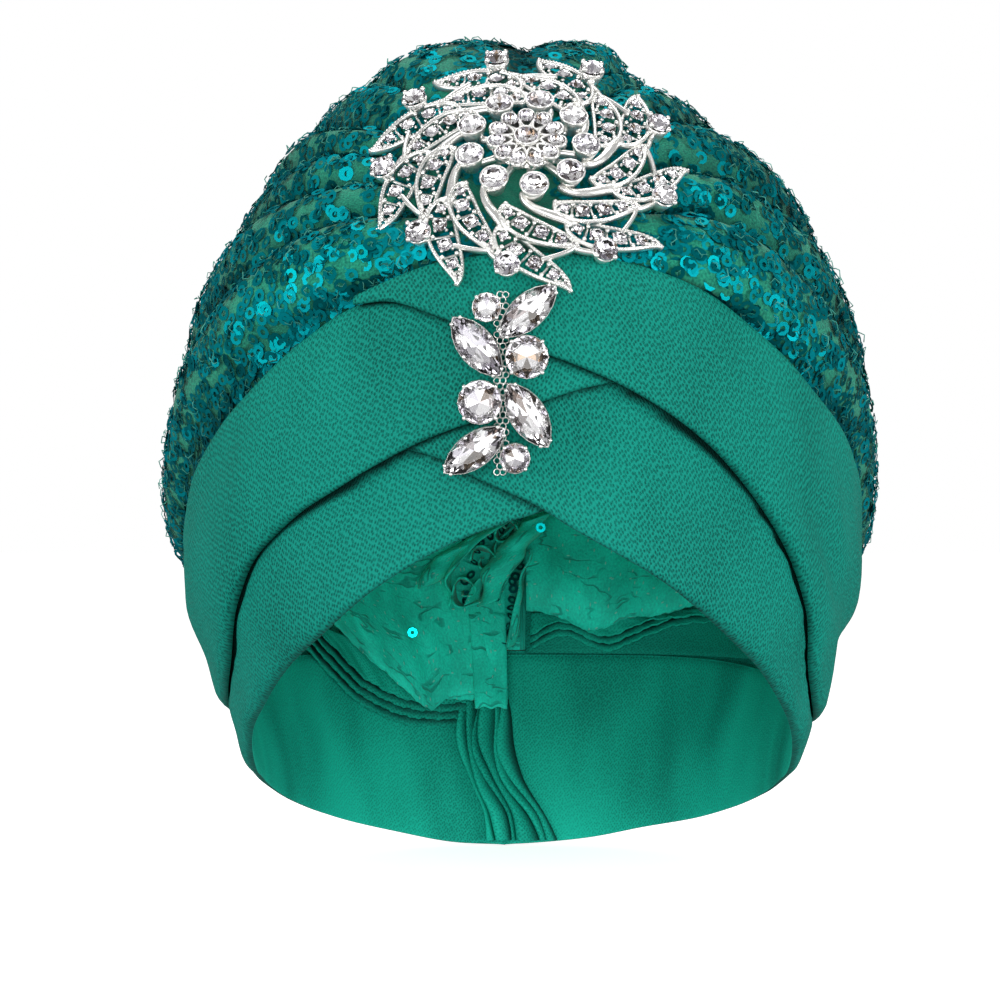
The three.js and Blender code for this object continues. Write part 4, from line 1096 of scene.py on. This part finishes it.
# Each curl, open towards the front: across, height, inner and outer radius, first angle, angle it turns
# through.
GATHER_CURLS = [
    (-17.5, -26.5, 1.2, 6.2, 200, 560),
    (-5.5, -7.5, 1.0, 5.2, 20, 480),
    (-11.5, -17, 1.0, 4.8, 110, 430),
]
CURL_STANDS = (3.0, 13.5)
CAUGHT_SIZE = 0.85
CAUGHT_SHADE = 0.3
gather_shape = Shape()
caught = []
for radius, stand, first, twist, rows in GATHER_ROLLS:
    table = np.array(rows, float)
    t = np.linspace(0, 1, 46)[:, None]
    hook = np.radians(first + twist * t + HOOK_SPAN * np.linspace(0, 1, 22)[None])
    crumple = 0.14 * np.sin(17 * t + first) + 0.1 * np.sin(3 * hook + 9 * t)
    wide = radius * (0.75 + 0.4 * np.sin(np.pi * t) + crumple)
    x = curve(table, t, 1) + wide * np.cos(hook)
    grid = back_wall(x, curve(table, t, 2) + 0.35 * wide * np.cos(hook), stand + wide * np.sin(hook))
    # Painted shade inside each roll, on the half of its hook that turns in.
    painted_shade = 0.7 * np.exp(-(((np.linspace(0, 1, 22)[None] - 0.5) / 0.18) ** 2)) * (np.sin(hook) < 0)
    add_sheet(gather_shape, grid, SEAM_CLOTH, tuck=painted_shade)
    for place in np.arange(0.12, 0.98, 0.085):
        at = np.array([[place]])
        x = curve(table, at, 1) + rng.uniform(-1, 1)
        spot = back_wall(x, curve(table, at, 2) + rng.uniform(-1, 1), stand).reshape(1, 3)
        way = np.array([[rng.uniform(-1, 1), -0.6, rng.uniform(0.3, 1)]])
        caught.append((spot, way, CAUGHT_SIZE, 0.0, CAUGHT_SHADE))
for x, height, inner, outer, first, turned in GATHER_CURLS:
    t = np.linspace(0, 1, 60)[:, None]
    out = np.linspace(0, 1, 10)[None]
    angle = np.radians(first + turned * t)
    wide = mix(inner, outer, t) * (1 + 0.12 * np.sin(3 * angle + 2 * out)) * mix(0.8, 1.1, out)
    stand = mix(*CURL_STANDS, out) + 1.2 * np.sin(5 * angle) * out
    grid = back_wall(x + wide * np.cos(angle), height + wide * np.sin(angle), stand)
    # Painted shade towards the middle of each curl.
    add_sheet(gather_shape, grid, SEAM_CLOTH, tuck=0.95 * (1 - out) ** 0.8 * (1 - 0.6 * t))
pieces["crown_gather"] = gather_shape.piece("crown_gather_cloth", [WRONG_SIDE_PAINTED_LIGHT])

# %% [markdown]
# The sequins caught in the rolls are darkened by painted shade. Two loose ones lie on the cloth inside and
# face the light, and their film is a much brighter copy of the sequin film, painted light that makes them
# flash. Each is set a millimetre off the foremost point of the cloth near its place, and it faces the front
# with a slight lean from the cloth.

# %% Caught and loose sequins
tilted = {"Tilt": 0.25, "Seed": 3}
pieces["seam_sequins"] = repeated("seam_sequins", SET_ON_POINTS, caught, sequin, FILM, tilted)
# Each loose sequin: across, height.
LOOSE_SEQUINS = [(7.2, -6.3), (-34.2, -40.4)]
LOOSE_REACH = 1.6
LOOSE_SIZE = 0.85
inside_cloth = []
for name in ("left_crown_flap", "right_crown_flap", "crown_gather"):
    inside_cloth += list(pieces[name].data.vertices)
loose = []
for x, height in LOOSE_SEQUINS:
    spot = Vector((x * MM, height * MM))
    near = [point for point in inside_cloth if (point.co.xz - spot).length < LOOSE_REACH * MM]
    front = min(near, key=lambda point: point.co.y)
    way = unit(0.15 * np.array(front.normal) + (0, -1, 0))
    place = np.array(front.co) / MM + np.array(front.normal)
    loose.append((place[None], way[None], LOOSE_SIZE, 0.0, 0.0))
    print("a loose sequin lies at", np.round(loose[-1][0], 1), "facing", np.round(way, 2))
pieces["sequins_loose"] = repeated("sequins_loose", SET_ON_POINTS, loose, sequin, PAINTED_LIGHT_FILM, {"Seed": 4})
drop(sequin)

# %% [markdown]
# Below the bunch the ends of the bands come down to the nape as a sheaf of soft pleats whose raw edges
# overlap. It is one ribbed sheet. The ribs sway and lean over each other, and painted shade darkens each
# one where the next one covers it.

# %% Sheaf of band ends
# The sheaf's middle line from the nape up: height, across.
PLEAT_LINE = np.array([(-107, -0.1), (-97, -2), (-86, -7), (-75, -11), (-62, -11.5)], float)
# Each rib, left to right: its width and how far it stands out.
PLEAT_RIBS = [(2.4, 3.2), (3.9, 6.2), (2.0, 4.0), (4.9, 6.8), (2.2, 4.4), (3.4, 2.6)]
down = np.linspace(0, 1, 64)[:, None]
share = np.linspace(0, 1, 13)[None]
height = mix(PLEAT_LINE[-1, 0], PLEAT_LINE[0, 0] + 0.6, down)
spread = mix(0.72, 1.12, down)
left = curve(PLEAT_LINE, height, 1) - spread * sum(width for width, _ in PLEAT_RIBS) / 2
columns, stands, shades = [], [], []
for number, (width, rise) in enumerate(PLEAT_RIBS):
    wide = spread * width * (1 + 0.42 * np.sin(6.5 * down + 2.4 * number))
    roll = np.maximum(np.sin(np.pi * share**0.5), 0) ** 0.6 * (0.78 + 0.22 * np.sin(8 * down + 2.2 * number))
    columns.append(left + wide * share - 2.0 * roll * np.sin(np.pi * np.minimum(down + 0.2, 1)))
    stands.append(0.8 + rise * roll * mix(1.0, 0.65, down))
    # Painted shade at the edge of each rib that the next one covers.
    shades.append(np.exp(-(((1 - share) / 0.36) ** 2)) + 0 * down)
    left = left + wide
grid = back_wall(np.concatenate(columns, 1), height, np.concatenate(stands, 1))
pleat_shape = Shape()
add_sheet(pleat_shape, grid, SEAM_CLOTH, tuck=0.95 * np.concatenate(shades, 1))
pieces["back_seam_pleats"] = pleat_shape.piece("back_seam_pleats_cloth", [CREPE_BACK_PAINTED_LIGHT])

# %% [markdown]
# The silver is bright cast metal, slightly warm, with soft tool marks. The stones are clear glass with a
# silver foil behind them: the front facets are glass and the back facets are mirrors, each with a random
# tone from dark bronze through grey to white. That tone is painted reflection, and it gives the hard light
# and dark of a foiled stone from every side.

# %% Silver and crystal finishes
SILVER = Finish("silver", {"Metallic": 0.88, "Specular IOR Level": 0.6})
marks = SILVER.noise(SILVER.object_place(), 900.0)
dull = SILVER.noise(SILVER.object_place(), 160.0)
SILVER.wear(
    colour=SILVER.blend(dull, colour(1.0, 0.995, 0.97), colour(0.90, 0.89, 0.86)),
    roughness=0.18 + dull * 0.2,
    normal=SILVER.bump(marks, 0.25, 0.12 * MM),
)

GLASS = Finish("crystal_glass", {
    "Base Color": colour(1.0, 1.0, 1.0), "Roughness": 0.02, "IOR": 1.56, "Transmission Weight": 1.0})
FOIL = Finish("crystal_foil", {"Metallic": 1.0, "Roughness": 0.08})
painted_reflection = FOIL.attribute("painted_facet_reflection")
# Painted reflection: each back facet's random tone stands for dark, warm or bright things it would mirror.
pale = FOIL.blend(FOIL.step(painted_reflection, 0.2, 0.9), colour(0.42, 0.40, 0.45), colour(1.0, 0.99, 1.0))
FOIL.wear(colour=FOIL.blend(FOIL.step(painted_reflection, 0.10, 0.22), colour(0.12, 0.085, 0.06), pale))
print("finishes:", [m.name for m in bpy.data.materials])

# %% [markdown]
# Every stone, round or pointed, has the same cut: an eight-sided table, star and kite facets round it, a
# girdle of sixteen sides, and a pointed back. Only the outline differs, so one function cuts both from
# sixteen points.

# %% Cutting a stone
# Each level: its share of the outline and its height as a share of the stone's width.
CUT = {
    "table": (0.56, 0.52), "star": (0.80, 0.44), "girdle": (1.0, 0.32),
    "under": (1.0, 0.28), "back": (0.46, 0.10)}


def round_outline(width):
    turns = np.linspace(0, 2 * np.pi, 16, endpoint=False)
    return np.stack([np.cos(turns), np.sin(turns)], -1) * width / 2


def long_outline(length, width):
    t = np.array([0, 0.07, 0.2, 0.35, 0.5, 0.65, 0.8, 0.93, 1])
    half = np.stack([length * (t - 0.5), -width / 2 * (1 - (2 * t - 1) ** 2) ** 0.75], -1)
    return np.concatenate([half, half[-2:0:-1] * (1, -1)])


def add_stone(shape, outline, width, place, axes, painted_reflections):
    """Cuts a stone on its own axes in the cap's frame. Front facets are group 0, back ones 1."""
    def level(name, which):
        share, height = CUT[name]
        flat = outline[which] * share
        return np.concatenate([flat, np.full((len(flat), 1), height * width)], 1)

    even, odd, every = np.arange(0, 16, 2), np.arange(1, 16, 2), np.arange(16)
    points = np.concatenate([
        level("table", even), level("star", odd), level("girdle", every), level("under", every),
        level("back", odd), [[0, 0, 0.0]]])
    T, S, G, U, B, tip = 0, 8, 16, 32, 48, 56
    faces = [tuple(range(8))]
    for k in range(8):
        n, m = (k + 1) % 8, (k - 1) % 8
        g0, g1, g2 = 2 * k, 2 * k + 1, (2 * k + 2) % 16
        faces += [(T + k, S + k, T + n), (S + m, G + g0, S + k, T + k)]
        faces += [(G + g0, G + g1, S + k), (G + g1, G + g2, S + k)]
    front = len(faces)
    for k in range(16):
        faces.append((U + k, U + (k + 1) % 16, G + (k + 1) % 16, G + k))
    for k in range(8):
        m = (k - 1) % 8
        g0, g1, g2 = 2 * k, 2 * k + 1, (2 * k + 2) % 16
        faces += [(U + g1, U + g0, B + k), (U + g2, U + g1, B + k), (B + m, tip, B + k, U + g0)]
    groups = [0] * front + [1] * (len(faces) - front)
    shape.add(place + points @ axes, faces, groups, points[:, :2], painted_reflections.uniform(0, 1, len(faces)) ** 0.8)


print("a stone has", 33 + 16 + 24, "facets")

# %% [markdown]
# The brooch leans back on the crown. It is a low dome of nine equal sprays that swirl round a flower of
# stones. One spray is laid out by radius and turn and repeated, as the caster would repeat a pattern
# round a centre.

# %% Brooch layout
BROOCH_CENTRE = np.array([0.6, -84, 90.5])
BROOCH_LEAN = 38.6
BROOCH_RADIUS = 44
BROOCH_DOME = 9.5
BROOCH_BEND = 3
SPRAYS = 9
FIRST_SPRAY = 5
METAL = 1.5
GAP = 0.35
# Each leaf: radius and turn at its base, radius and turn at its tip, width.
LEAVES = [(25, -30, 44, 0, 8.8), (19, -32, 33.8, 9, 8)]
# Each stem: radius and turn at its start and its end, full width, and the share of it at the start.
STEMS = [
    (15, -60, 27, -27, 3.4, 0.45), (7, -8, 15, -8, 1.8, 1),
    (32.5, 7, 37.4, 17, 1.6, 1), (35, -9, 33, 7, 1.3, 1)]
LEAF_BEND = 1.0
INNER_STONE = {"radius": 15.3, "turn": -8, "diameter": 7.2, "cup": 1.8}
OUTER_STONE = {"radius": 37.4, "turn": 17, "diameter": 6.8, "cup": 1.8}
FLOWER = {"disc": 9.6, "rise": 3, "petals": 11, "petal_radius": 7.9, "petal": 4.4, "centre": 6.2}


def frame_axes(lean):
    """The rows are a leaning ornament's own x, y and z in the cap's frame."""
    a = math.radians(90 - lean)
    return np.array([(1, 0, 0), (0, math.cos(a), math.sin(a)), (0, -math.sin(a), math.cos(a))])


BROOCH_AXES = frame_axes(BROOCH_LEAN)


def dome_height(x, y):
    return BROOCH_DOME * (1 - (x * x + y * y) / BROOCH_RADIUS**2) - BROOCH_BEND * (x / BROOCH_RADIUS) ** 2


def brooch_local(radius, turn, rise=0.0):
    x, y = radius * np.cos(np.radians(turn)), radius * np.sin(np.radians(turn))
    return np.stack([x, y, dome_height(x, y) + rise], -1)


def brooch_out(local):
    slope = 2 * BROOCH_DOME / BROOCH_RADIUS**2
    return unit(np.concatenate([slope * local[..., :2], np.ones((*local.shape[:-1], 1))], -1))


def to_cap(local):
    return BROOCH_CENTRE + local @ BROOCH_AXES


def brooch_seat(radius, turn, rise):
    """The place and axes of a stone that stands on the brooch's dome."""
    local = brooch_local(radius, turn)
    out = brooch_out(local)
    lean = np.array(Vector((0, 0, 1)).rotation_difference(Vector(out)).to_matrix())
    return to_cap(local + out * rise), lean.T @ BROOCH_AXES


def swirl(row, spray, t):
    """Points along the S of a leaf or stem, and the way across it, in the brooch's own frame."""
    r0, a0, r1, a1 = row[:4]
    points = []
    for s in (t, t - 0.01, t + 0.01):
        bend = mix(s, s * s * (3 - 2 * s), LEAF_BEND)
        points.append(brooch_local(mix(r0, r1, s), spray + mix(a0, a1, bend)))
    ahead = points[2] - points[1]
    across = unit(np.stack([ahead[..., 1], -ahead[..., 0], 0 * t], -1))
    return points[0], across


sprays = FIRST_SPRAY + 360 / SPRAYS * np.arange(SPRAYS)
petal_turns = 90 + 360 / FLOWER["petals"] * np.arange(FLOWER["petals"])
print("sprays:", SPRAYS, "petals:", FLOWER["petals"])

# %% [markdown]
# A leaf is a raised rim round an open middle, crossed by small bars that carry a row of stones in bead
# claws, with solid silver at its base and tip. Polished ribbons sweep from the flower to the leaves. All
# of these are one section carried along the swirl; curves with a bevel would do it too, but a swept
# section keeps its own corners.

# %% Brooch metal
RIM = np.array([(-0.5, -1.3), (0.5, -1.3), (0.55, -0.1), (0.26, 0.4), (-0.26, 0.4), (-0.55, -0.1)])
BAR = np.array([(-0.35, -1.2), (0.35, -1.2), (0.3, -0.7), (-0.3, -0.7)])
LEAF_BARS = (0.285, 0.475, 0.665, 0.825)
# Place along a leaf and diameter of its small stones.
PAVE = [(0.19, 2.8), (0.38, 4.0), (0.57, 4.0), (0.75, 3.2), (0.885, 1.5)]
# Widths of the silver grains on the bars and of the bead claws.
BAR_GRAIN, SMALL_CLAW, CUP_CLAW, STRIP_CLAW = 1.45, 1.1, 1.6, 1.2
CORNERS = np.radians([45, 135, 225, 315])
silver_shape = Shape()
bead_threads = []
small_stones = []
claws = []


def leaf_half(width, t):
    """Half of a leaf's width: narrow at its base, widest before the middle, drawn out to a point."""
    return width / 2 * np.maximum(np.sin(np.pi * np.clip(t, 0, 1) ** 0.84), 0.0) ** 0.85


def on_dome(local, rise):
    return to_cap(local + brooch_out(local) * rise)


def leaf_metal(row, spray):
    width = row[4]
    t = np.linspace(0.0, 1.0, 30)
    middle, across = swirl(row, spray, t)
    half = np.maximum(leaf_half(width, t) - 0.45, 0.15)[:, None]
    ring = np.concatenate([middle - across * half, (middle + across * half)[::-1]])
    add_sweep(silver_shape, to_cap(ring), brooch_out(ring) @ BROOCH_AXES, RIM, closed=True)
    bead_threads.append((on_dome(ring, 0.38), brooch_out(ring) @ BROOCH_AXES, 1.0, 0.0, 0.0))
    for place in LEAF_BARS:
        centre, aside = swirl(row, spray, np.array([place]))
        reach = leaf_half(width, place) - 0.3
        bar = centre + aside * np.linspace(-reach, reach, 4)[:, None]
        add_sweep(silver_shape, to_cap(bar), brooch_out(bar) @ BROOCH_AXES, BAR)
        for aside_share in (-0.62, 0.62):
            grain_at = centre + aside * aside_share * reach
            claws.append((on_dome(grain_at, 0.0), brooch_out(grain_at) @ BROOCH_AXES, BAR_GRAIN, 0.0, 0.0))
    for first, last in ((0.0, 0.1), (0.93, 0.99)):
        s = np.linspace(first, last, 5)
        floor, _ = swirl(row, spray, s)
        reach = np.maximum(leaf_half(width, s) - 0.35, 0.2)
        low, high = np.full_like(s, -1.1), np.full_like(s, 0.05)
        corners = ((-reach, low), (reach, low), (reach, high), (-reach, high))
        solid = np.stack([np.stack(corner, -1) for corner in corners], 1)
        add_sweep(silver_shape, to_cap(floor), brooch_out(floor) @ BROOCH_AXES, solid)
    for place, diameter in PAVE:
        centre, aside = swirl(row, spray, np.array([place]))
        size = min(diameter, 2 * leaf_half(width, place) - 1.2)
        way = brooch_out(centre) @ BROOCH_AXES
        small_stones.append((on_dome(centre, -0.5), way, size))
        ahead = np.cross(brooch_out(centre), aside)
        for a in CORNERS:
            claw = centre + (math.cos(a) * aside + math.sin(a) * ahead) * (size / 2 + 0.12)
            claws.append((on_dome(claw, 0.12), way, SMALL_CLAW, 0.0, 0.0))


def stem_metal(row, spray):
    t = np.linspace(0, 1, 14)
    middle, _ = swirl(row, spray, t)
    wide = row[4] / 2 * mix(row[5], 1.0, t)[:, None, None]
    section = wide * np.array([(-1, 0), (1, 0), (1, 0), (0.5, 0), (-0.5, 0), (-1, 0)])
    section = section + np.array([(0, -1.4), (0, -1.4), (0, -0.2), (0, 0.45), (0, 0.45), (0, -0.2)])
    add_sweep(silver_shape, to_cap(middle), brooch_out(middle) @ BROOCH_AXES, section)


for spray in sprays:
    for leaf in LEAVES:
        leaf_metal(leaf, spray)
    for stem in STEMS:
        stem_metal(stem, spray)
print("small stones:", len(small_stones), "claws:", len(claws))

# %% [markdown]
# Round stones stand in tapered cups, the outer ones with four claws. The flower is a shallow dish of
# petals, each a drop-shaped rim round its own stone, about one larger stone.

# %% Brooch settings and stones
def add_cup(shape, outline, place, axes, low, high, wall, taper=0.0):
    """A setting: a wall round a stone's outline, drawn in at its foot, and a floor under it."""
    ring = np.concatenate([outline, np.zeros((len(outline), 1))], 1)
    section = np.array([
        (-taper, low), (wall - taper, low), (wall, high - 0.25),
        (wall * 0.6, high), (0.05, high), (0, high - 0.2)])
    add_sweep(shape, place + ring @ axes, axes[2], section, closed=True)
    n = len(ring)
    foot = ring * (1 - taper / np.linalg.norm(outline, axis=1).max())
    levels = np.concatenate([foot + (0, 0, low + 0.5), foot + (0, 0, low)])
    floor = [tuple(range(n)), tuple(range(2 * n - 1, n - 1, -1))]
    sides = [(k + n, (k + 1) % n + n, (k + 1) % n, k) for k in range(n)]
    shape.add(place + levels @ axes, floor + sides)


def add_petal(shape, turn, height):
    """A drop-shaped rim, narrow towards the flower's middle."""
    a = np.linspace(0, 2 * np.pi, 20, endpoint=False)
    out = 7.2 + 3.35 * np.cos(a)
    aside = 1.98 * np.sin(a) * (1 + 0.3 * np.cos(a))
    c, s = math.cos(math.radians(turn)), math.sin(math.radians(turn))
    local = np.stack([out * c - aside * s, out * s + aside * c, np.full_like(a, height)], -1)
    section = np.array([(-0.3, -1.4), (0.3, -1.4), (0.33, 0.25), (0, 0.5), (-0.33, 0.25)])
    add_sweep(shape, to_cap(local), BROOCH_AXES[2], section, closed=True)


stone_shape = Shape()
painted_reflections = np.random.default_rng(3)
for spray in sprays:
    for kind in (INNER_STONE, OUTER_STONE):
        place, axes = brooch_seat(kind["radius"], spray + kind["turn"], kind["cup"] + GAP)
        width, foot = kind["diameter"], -kind["cup"] - METAL
        add_stone(stone_shape, round_outline(width), width, place, axes, painted_reflections)
        if kind is INNER_STONE:
            add_cup(silver_shape, round_outline(width), place, axes, foot, width * 0.35, 0.4, taper=1.7)
            continue
        add_cup(silver_shape, round_outline(width * 0.88), place, axes, foot, width * 0.2, 0.5, taper=1.4)
        for a in CORNERS:
            reach = width / 2 + 0.1
            claw = place + np.array([math.cos(a) * reach, math.sin(a) * reach, width * 0.36]) @ axes
            claws.append((claw[None], axes[2][None], CUP_CLAW, 0.0, 0.0))
disc_place, disc_axes = brooch_seat(0, 0, 0)
disc_outline = round_outline(2 * FLOWER["disc"] * 0.98)
rise = FLOWER["rise"]
# The flower's dish, the foot under it and its raised floor: share of its width, low, high, taper.
DISH = ((1, rise - 1.6, rise, 1.5), (0.6, -METAL, rise - 1.2, 0), (1, rise - 0.6, rise, 0))
for share, low, high, taper in DISH:
    add_cup(silver_shape, disc_outline * share, disc_place, disc_axes, low, high, 0.4, taper)
for turn in petal_turns:
    c, s = math.cos(math.radians(turn)), math.sin(math.radians(turn))
    reach, width = FLOWER["petal_radius"], FLOWER["petal"]
    place = to_cap(np.array([reach * c, reach * s, BROOCH_DOME + rise + GAP]))
    add_stone(stone_shape, round_outline(width), width, place, BROOCH_AXES, painted_reflections)
    add_petal(silver_shape, turn, BROOCH_DOME + rise + 1.2)
place, axes = brooch_seat(0, 0, rise + GAP)
add_stone(stone_shape, round_outline(FLOWER["centre"]), FLOWER["centre"], place, axes, painted_reflections)
add_cup(silver_shape, round_outline(FLOWER["centre"]), place, axes, -1.0, FLOWER["centre"] * 0.36, 0.45)
pieces["brooch_frame"] = silver_shape.piece("brooch_silver", [SILVER])
pieces["brooch_stones"] = stone_shape.piece("brooch_stones", [GLASS, FOIL], smooth=False)

# %% [markdown]
# The strip is a ladder of pointed and round stones in claw cups, on a backing of fine linked wire that
# shows as tiny loops between the stones and past both ends.

# %% Strip stones and settings
STRIP_CENTRE = np.array([-6.5, -108.9, 33.5])
STRIP_AXES = frame_axes(-3.5)
STRIP_CUP = 1.4
# Each stone: across and up from the strip's middle, length, width, lean of its length from the
# horizontal.
STRIP_STONES = {
    "strip_small_stone_top": (-3.5, 19.6, 7.4, 7.4, 0),
    "strip_long_stone_1": (7.3, 18.6, 20, 9, 42),
    "strip_long_stone_2": (-6.1, 9.4, 20, 9.6, -51),
    "strip_round_stone_1": (7, 6.7, 11.4, 11.4, 0),
    "strip_round_stone_2": (-5.3, -5.1, 11.6, 11.6, 0),
    "strip_long_stone_3": (7.3, -8.5, 20, 9.6, -58),
    "strip_long_stone_4": (-6.7, -17.7, 20, 9, 36),
    "strip_small_stone_bottom": (3.9, -19.8, 7.8, 7.8, 0),
}
# The claws of a long stone, as shares of its half length and half width.
LONG_CLAWS = [(0, 0.9), (0, -0.9), (0.86, 0.3), (-0.86, 0.3), (0.86, -0.3), (-0.86, -0.3)]
strip_stone_shape, strip_silver = Shape(), Shape()
strip_claws = []
for name, (x, up, length, width, lean) in STRIP_STONES.items():
    turn = math.radians(lean)
    spin = np.array([(math.cos(turn), math.sin(turn), 0), (-math.sin(turn), math.cos(turn), 0), (0, 0, 1)])
    axes = spin @ STRIP_AXES
    place = STRIP_CENTRE + np.array([x, up, METAL + STRIP_CUP + GAP]) @ STRIP_AXES
    outline = long_outline(length, width) if length > width else round_outline(width)
    add_stone(strip_stone_shape, outline, width, place, axes, painted_reflections)
    add_cup(strip_silver, outline * 0.94, place, axes, -METAL - STRIP_CUP, width * 0.3, 0.4)
    round_claws = [(math.cos(a), math.sin(a)) for a in CORNERS]
    for along, aside in LONG_CLAWS if length > width else round_claws:
        reach = np.array([along * length / 2, aside * width / 2, width * 0.36])
        strip_claws.append(((place + reach @ axes)[None], axes[2][None], STRIP_CLAW, 0.0, 0.0))
pieces["strip_stones"] = strip_stone_shape.piece("strip_stones", [GLASS, FOIL], smooth=False)

# %% [markdown]
# Rows of beads edge the leaves, bead claws hold the stones, and rings of wire make the strip's backing.
# Each is one small shape that a tree repeats along a rim or at set points. The small stones are cut one
# by one, as they lean every way with the dome.

# %% Beads, claws, small stones and wire loops
def bead_shape(name, width, tall, sides=5):
    """A small silver bead, rounder above than below."""
    levels = [(0.55, -0.5), (1.0, -0.1), (0.8, 0.35)]
    turns = np.linspace(0, 2 * np.pi, sides, endpoint=False)
    ring = np.stack([np.cos(turns), np.sin(turns), 0 * turns], -1) * width / 2
    rows = [ring * share + (0, 0, up * tall) for share, up in levels]
    points = np.concatenate([*rows, [[0, 0, 0.55 * tall]]])
    faces = [tuple(range(sides - 1, -1, -1))]
    for level in range(2):
        a, b = level * sides, (level + 1) * sides
        faces += [(a + k, a + (k + 1) % sides, b + (k + 1) % sides, b + k) for k in range(sides)]
    faces += [(2 * sides + k, 2 * sides + (k + 1) % sides, 3 * sides) for k in range(sides)]
    shape = Shape()
    shape.add(points, faces)
    return shape.piece(name, [SILVER])


def loop_shape(width, wire):
    turns = np.linspace(0, 2 * np.pi, 10, endpoint=False)
    path = np.stack([np.cos(turns), np.sin(turns), 0 * turns], -1) * width / 2
    sides = np.linspace(0, 2 * np.pi, 5, endpoint=False)
    section = np.stack([np.cos(sides), np.sin(sides)], -1) * wire / 2
    shape = Shape()
    add_sweep(shape, path, (0, 0, 1), section, closed=True)
    return shape.piece("loop", [SILVER])


bead = bead_shape("bead", 1.0, 0.9)
spaced = {"Pitch": 1.1 * MM, "Size": 0.68}
pieces["brooch_beads"] = repeated("brooch_beads", THREADED, bead_threads, bead, SILVER, spaced)
pieces["brooch_claws"] = repeated("brooch_claws", SET_ON_POINTS, claws, bead, SILVER, {})
pieces["strip_claws"] = repeated("strip_claws", SET_ON_POINTS, strip_claws, bead, SILVER, {})
drop(bead)

loops = []
for row, up in enumerate(np.arange(-23.6, 23.0, 1.5)):
    x = np.arange(-0.8, 0.9, 1.55) + 0.77 * (row % 2)
    local = np.stack([x, 0 * x + up, 0 * x + 0.3], -1)
    way = np.broadcast_to(STRIP_AXES[2], local.shape)
    loops.append((STRIP_CENTRE + local @ STRIP_AXES, way, 1.0, 0.0, 0.0))
loop = loop_shape(1.7, 0.36)
loosely = {"Tilt": 0.35, "Seed": 5}
pieces["strip_loops"] = repeated("strip_loops", SET_ON_POINTS, loops, loop, SILVER, loosely)
drop(loop)
pieces["strip_base"] = strip_silver.piece("strip_silver", [SILVER])

pave_shape = Shape()
for place, way, size in small_stones:
    out = unit(way[0])
    aside = unit(np.cross(out, (0.0, 0.0, 1.0)))
    axes = np.stack([aside, np.cross(out, aside), out])
    add_stone(pave_shape, round_outline(size), size, place[0], axes, painted_reflections)
pieces["brooch_small_stones"] = pave_shape.piece("brooch_small_stones", [GLASS, FOIL], smooth=False)
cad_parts["brooch_pin"].data.materials.clear()
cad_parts["brooch_pin"].data.materials.append(SILVER.material)

# %% [markdown]
# The floor is plain and pale, just under the cap. It glows a little and throws no light back, so that it
# stays as white as the room.

# %% Floor
FLOOR = Finish("floor", {
    "Base Color": colour(0.9, 0.9, 0.9), "Roughness": 0.9,
    "Emission Color": colour(1, 1, 1), "Emission Strength": 0.8})
FLOOR_REACH = 6000
floor_shape = Shape()
low = packed_box[0][2] / MM - 0.5
corners = np.array([(-1, -1, 0), (1, -1, 0), (1, 1, 0), (-1, 1, 0)])
floor_shape.add(corners * FLOOR_REACH + (0, 0, low), [(0, 1, 2, 3)])
floor = floor_shape.piece("floor", [FLOOR])
floor.visible_diffuse = False
floor.visible_glossy = False
floor.visible_shadow = False

# %% [markdown]
# Every piece rides on the one body of the cap. Where it stands for imported solids it replaces them.

STANDS_FOR = {name: [name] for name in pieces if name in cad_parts}
node_names = sorted(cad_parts)
STANDS_FOR["brooch_stones"] = [n for n in node_names if n.startswith("brooch_") and "stone" in n]
STANDS_FOR["strip_stones"] = [n for n in node_names if n.startswith("strip_") and "stone" in n]
for name, piece in pieces.items():
    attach(piece, "root")
    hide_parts(*STANDS_FOR.get(name, []))
    if name in ("crown", "seam_sequins", "sequin_floss") or name.startswith("sequins"):
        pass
    elif name in ("left_crown_flap", "right_crown_flap", "crown_gather"):
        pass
    elif name in BANDS or name in SEAM_FLAPS or name == "back_seam_pleats":
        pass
    else:
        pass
print("pieces:", len(pieces))

# %% [markdown]
# A table lists, for each sheet of cloth, the size it was cut to, how it is held and what it lies on. The
# area of the finished piece, half of its closed surface, should come out close to the flat cut; the share
# is printed.

LOWER_BANDS = ["right_lower_band", "left_lower_band"]
# Each cloth piece: width and length of its flat cut in millimetres, how it is held, what it rests on.
CUTS = {
    "right_upper_band": (40, 420, "stretched", ["crown"]),
    "left_upper_band": (37, 370, "stretched", ["crown"]),
    "right_lower_band": (39, 380, "stretched", ["crown"]),
    "left_lower_band": (37, 350, "stretched", ["crown"]),
    "crown": (400, 305, "gathered", list(BANDS)),
    "left_crown_flap": (68, 58, "hung", LOWER_BANDS),
    "left_band_flap": (78, 58, "hung", LOWER_BANDS),
    "right_crown_flap": (78, 37, "hung", LOWER_BANDS),
    "right_band_flap": (78, 47, "hung", LOWER_BANDS),
    "crown_gather": (75, 48, "gathered", LOWER_BANDS),
    "back_seam_pleats": (50, 48, "gathered", LOWER_BANDS),
}
for name, (width, length, held, rests_on) in CUTS.items():
    width * MM
    length * MM
    area = sum(face.area for face in pieces[name].data.polygons) / 2
    print(f"{name}: {area / (width * length * MM * MM):.2f} of its flat cut")
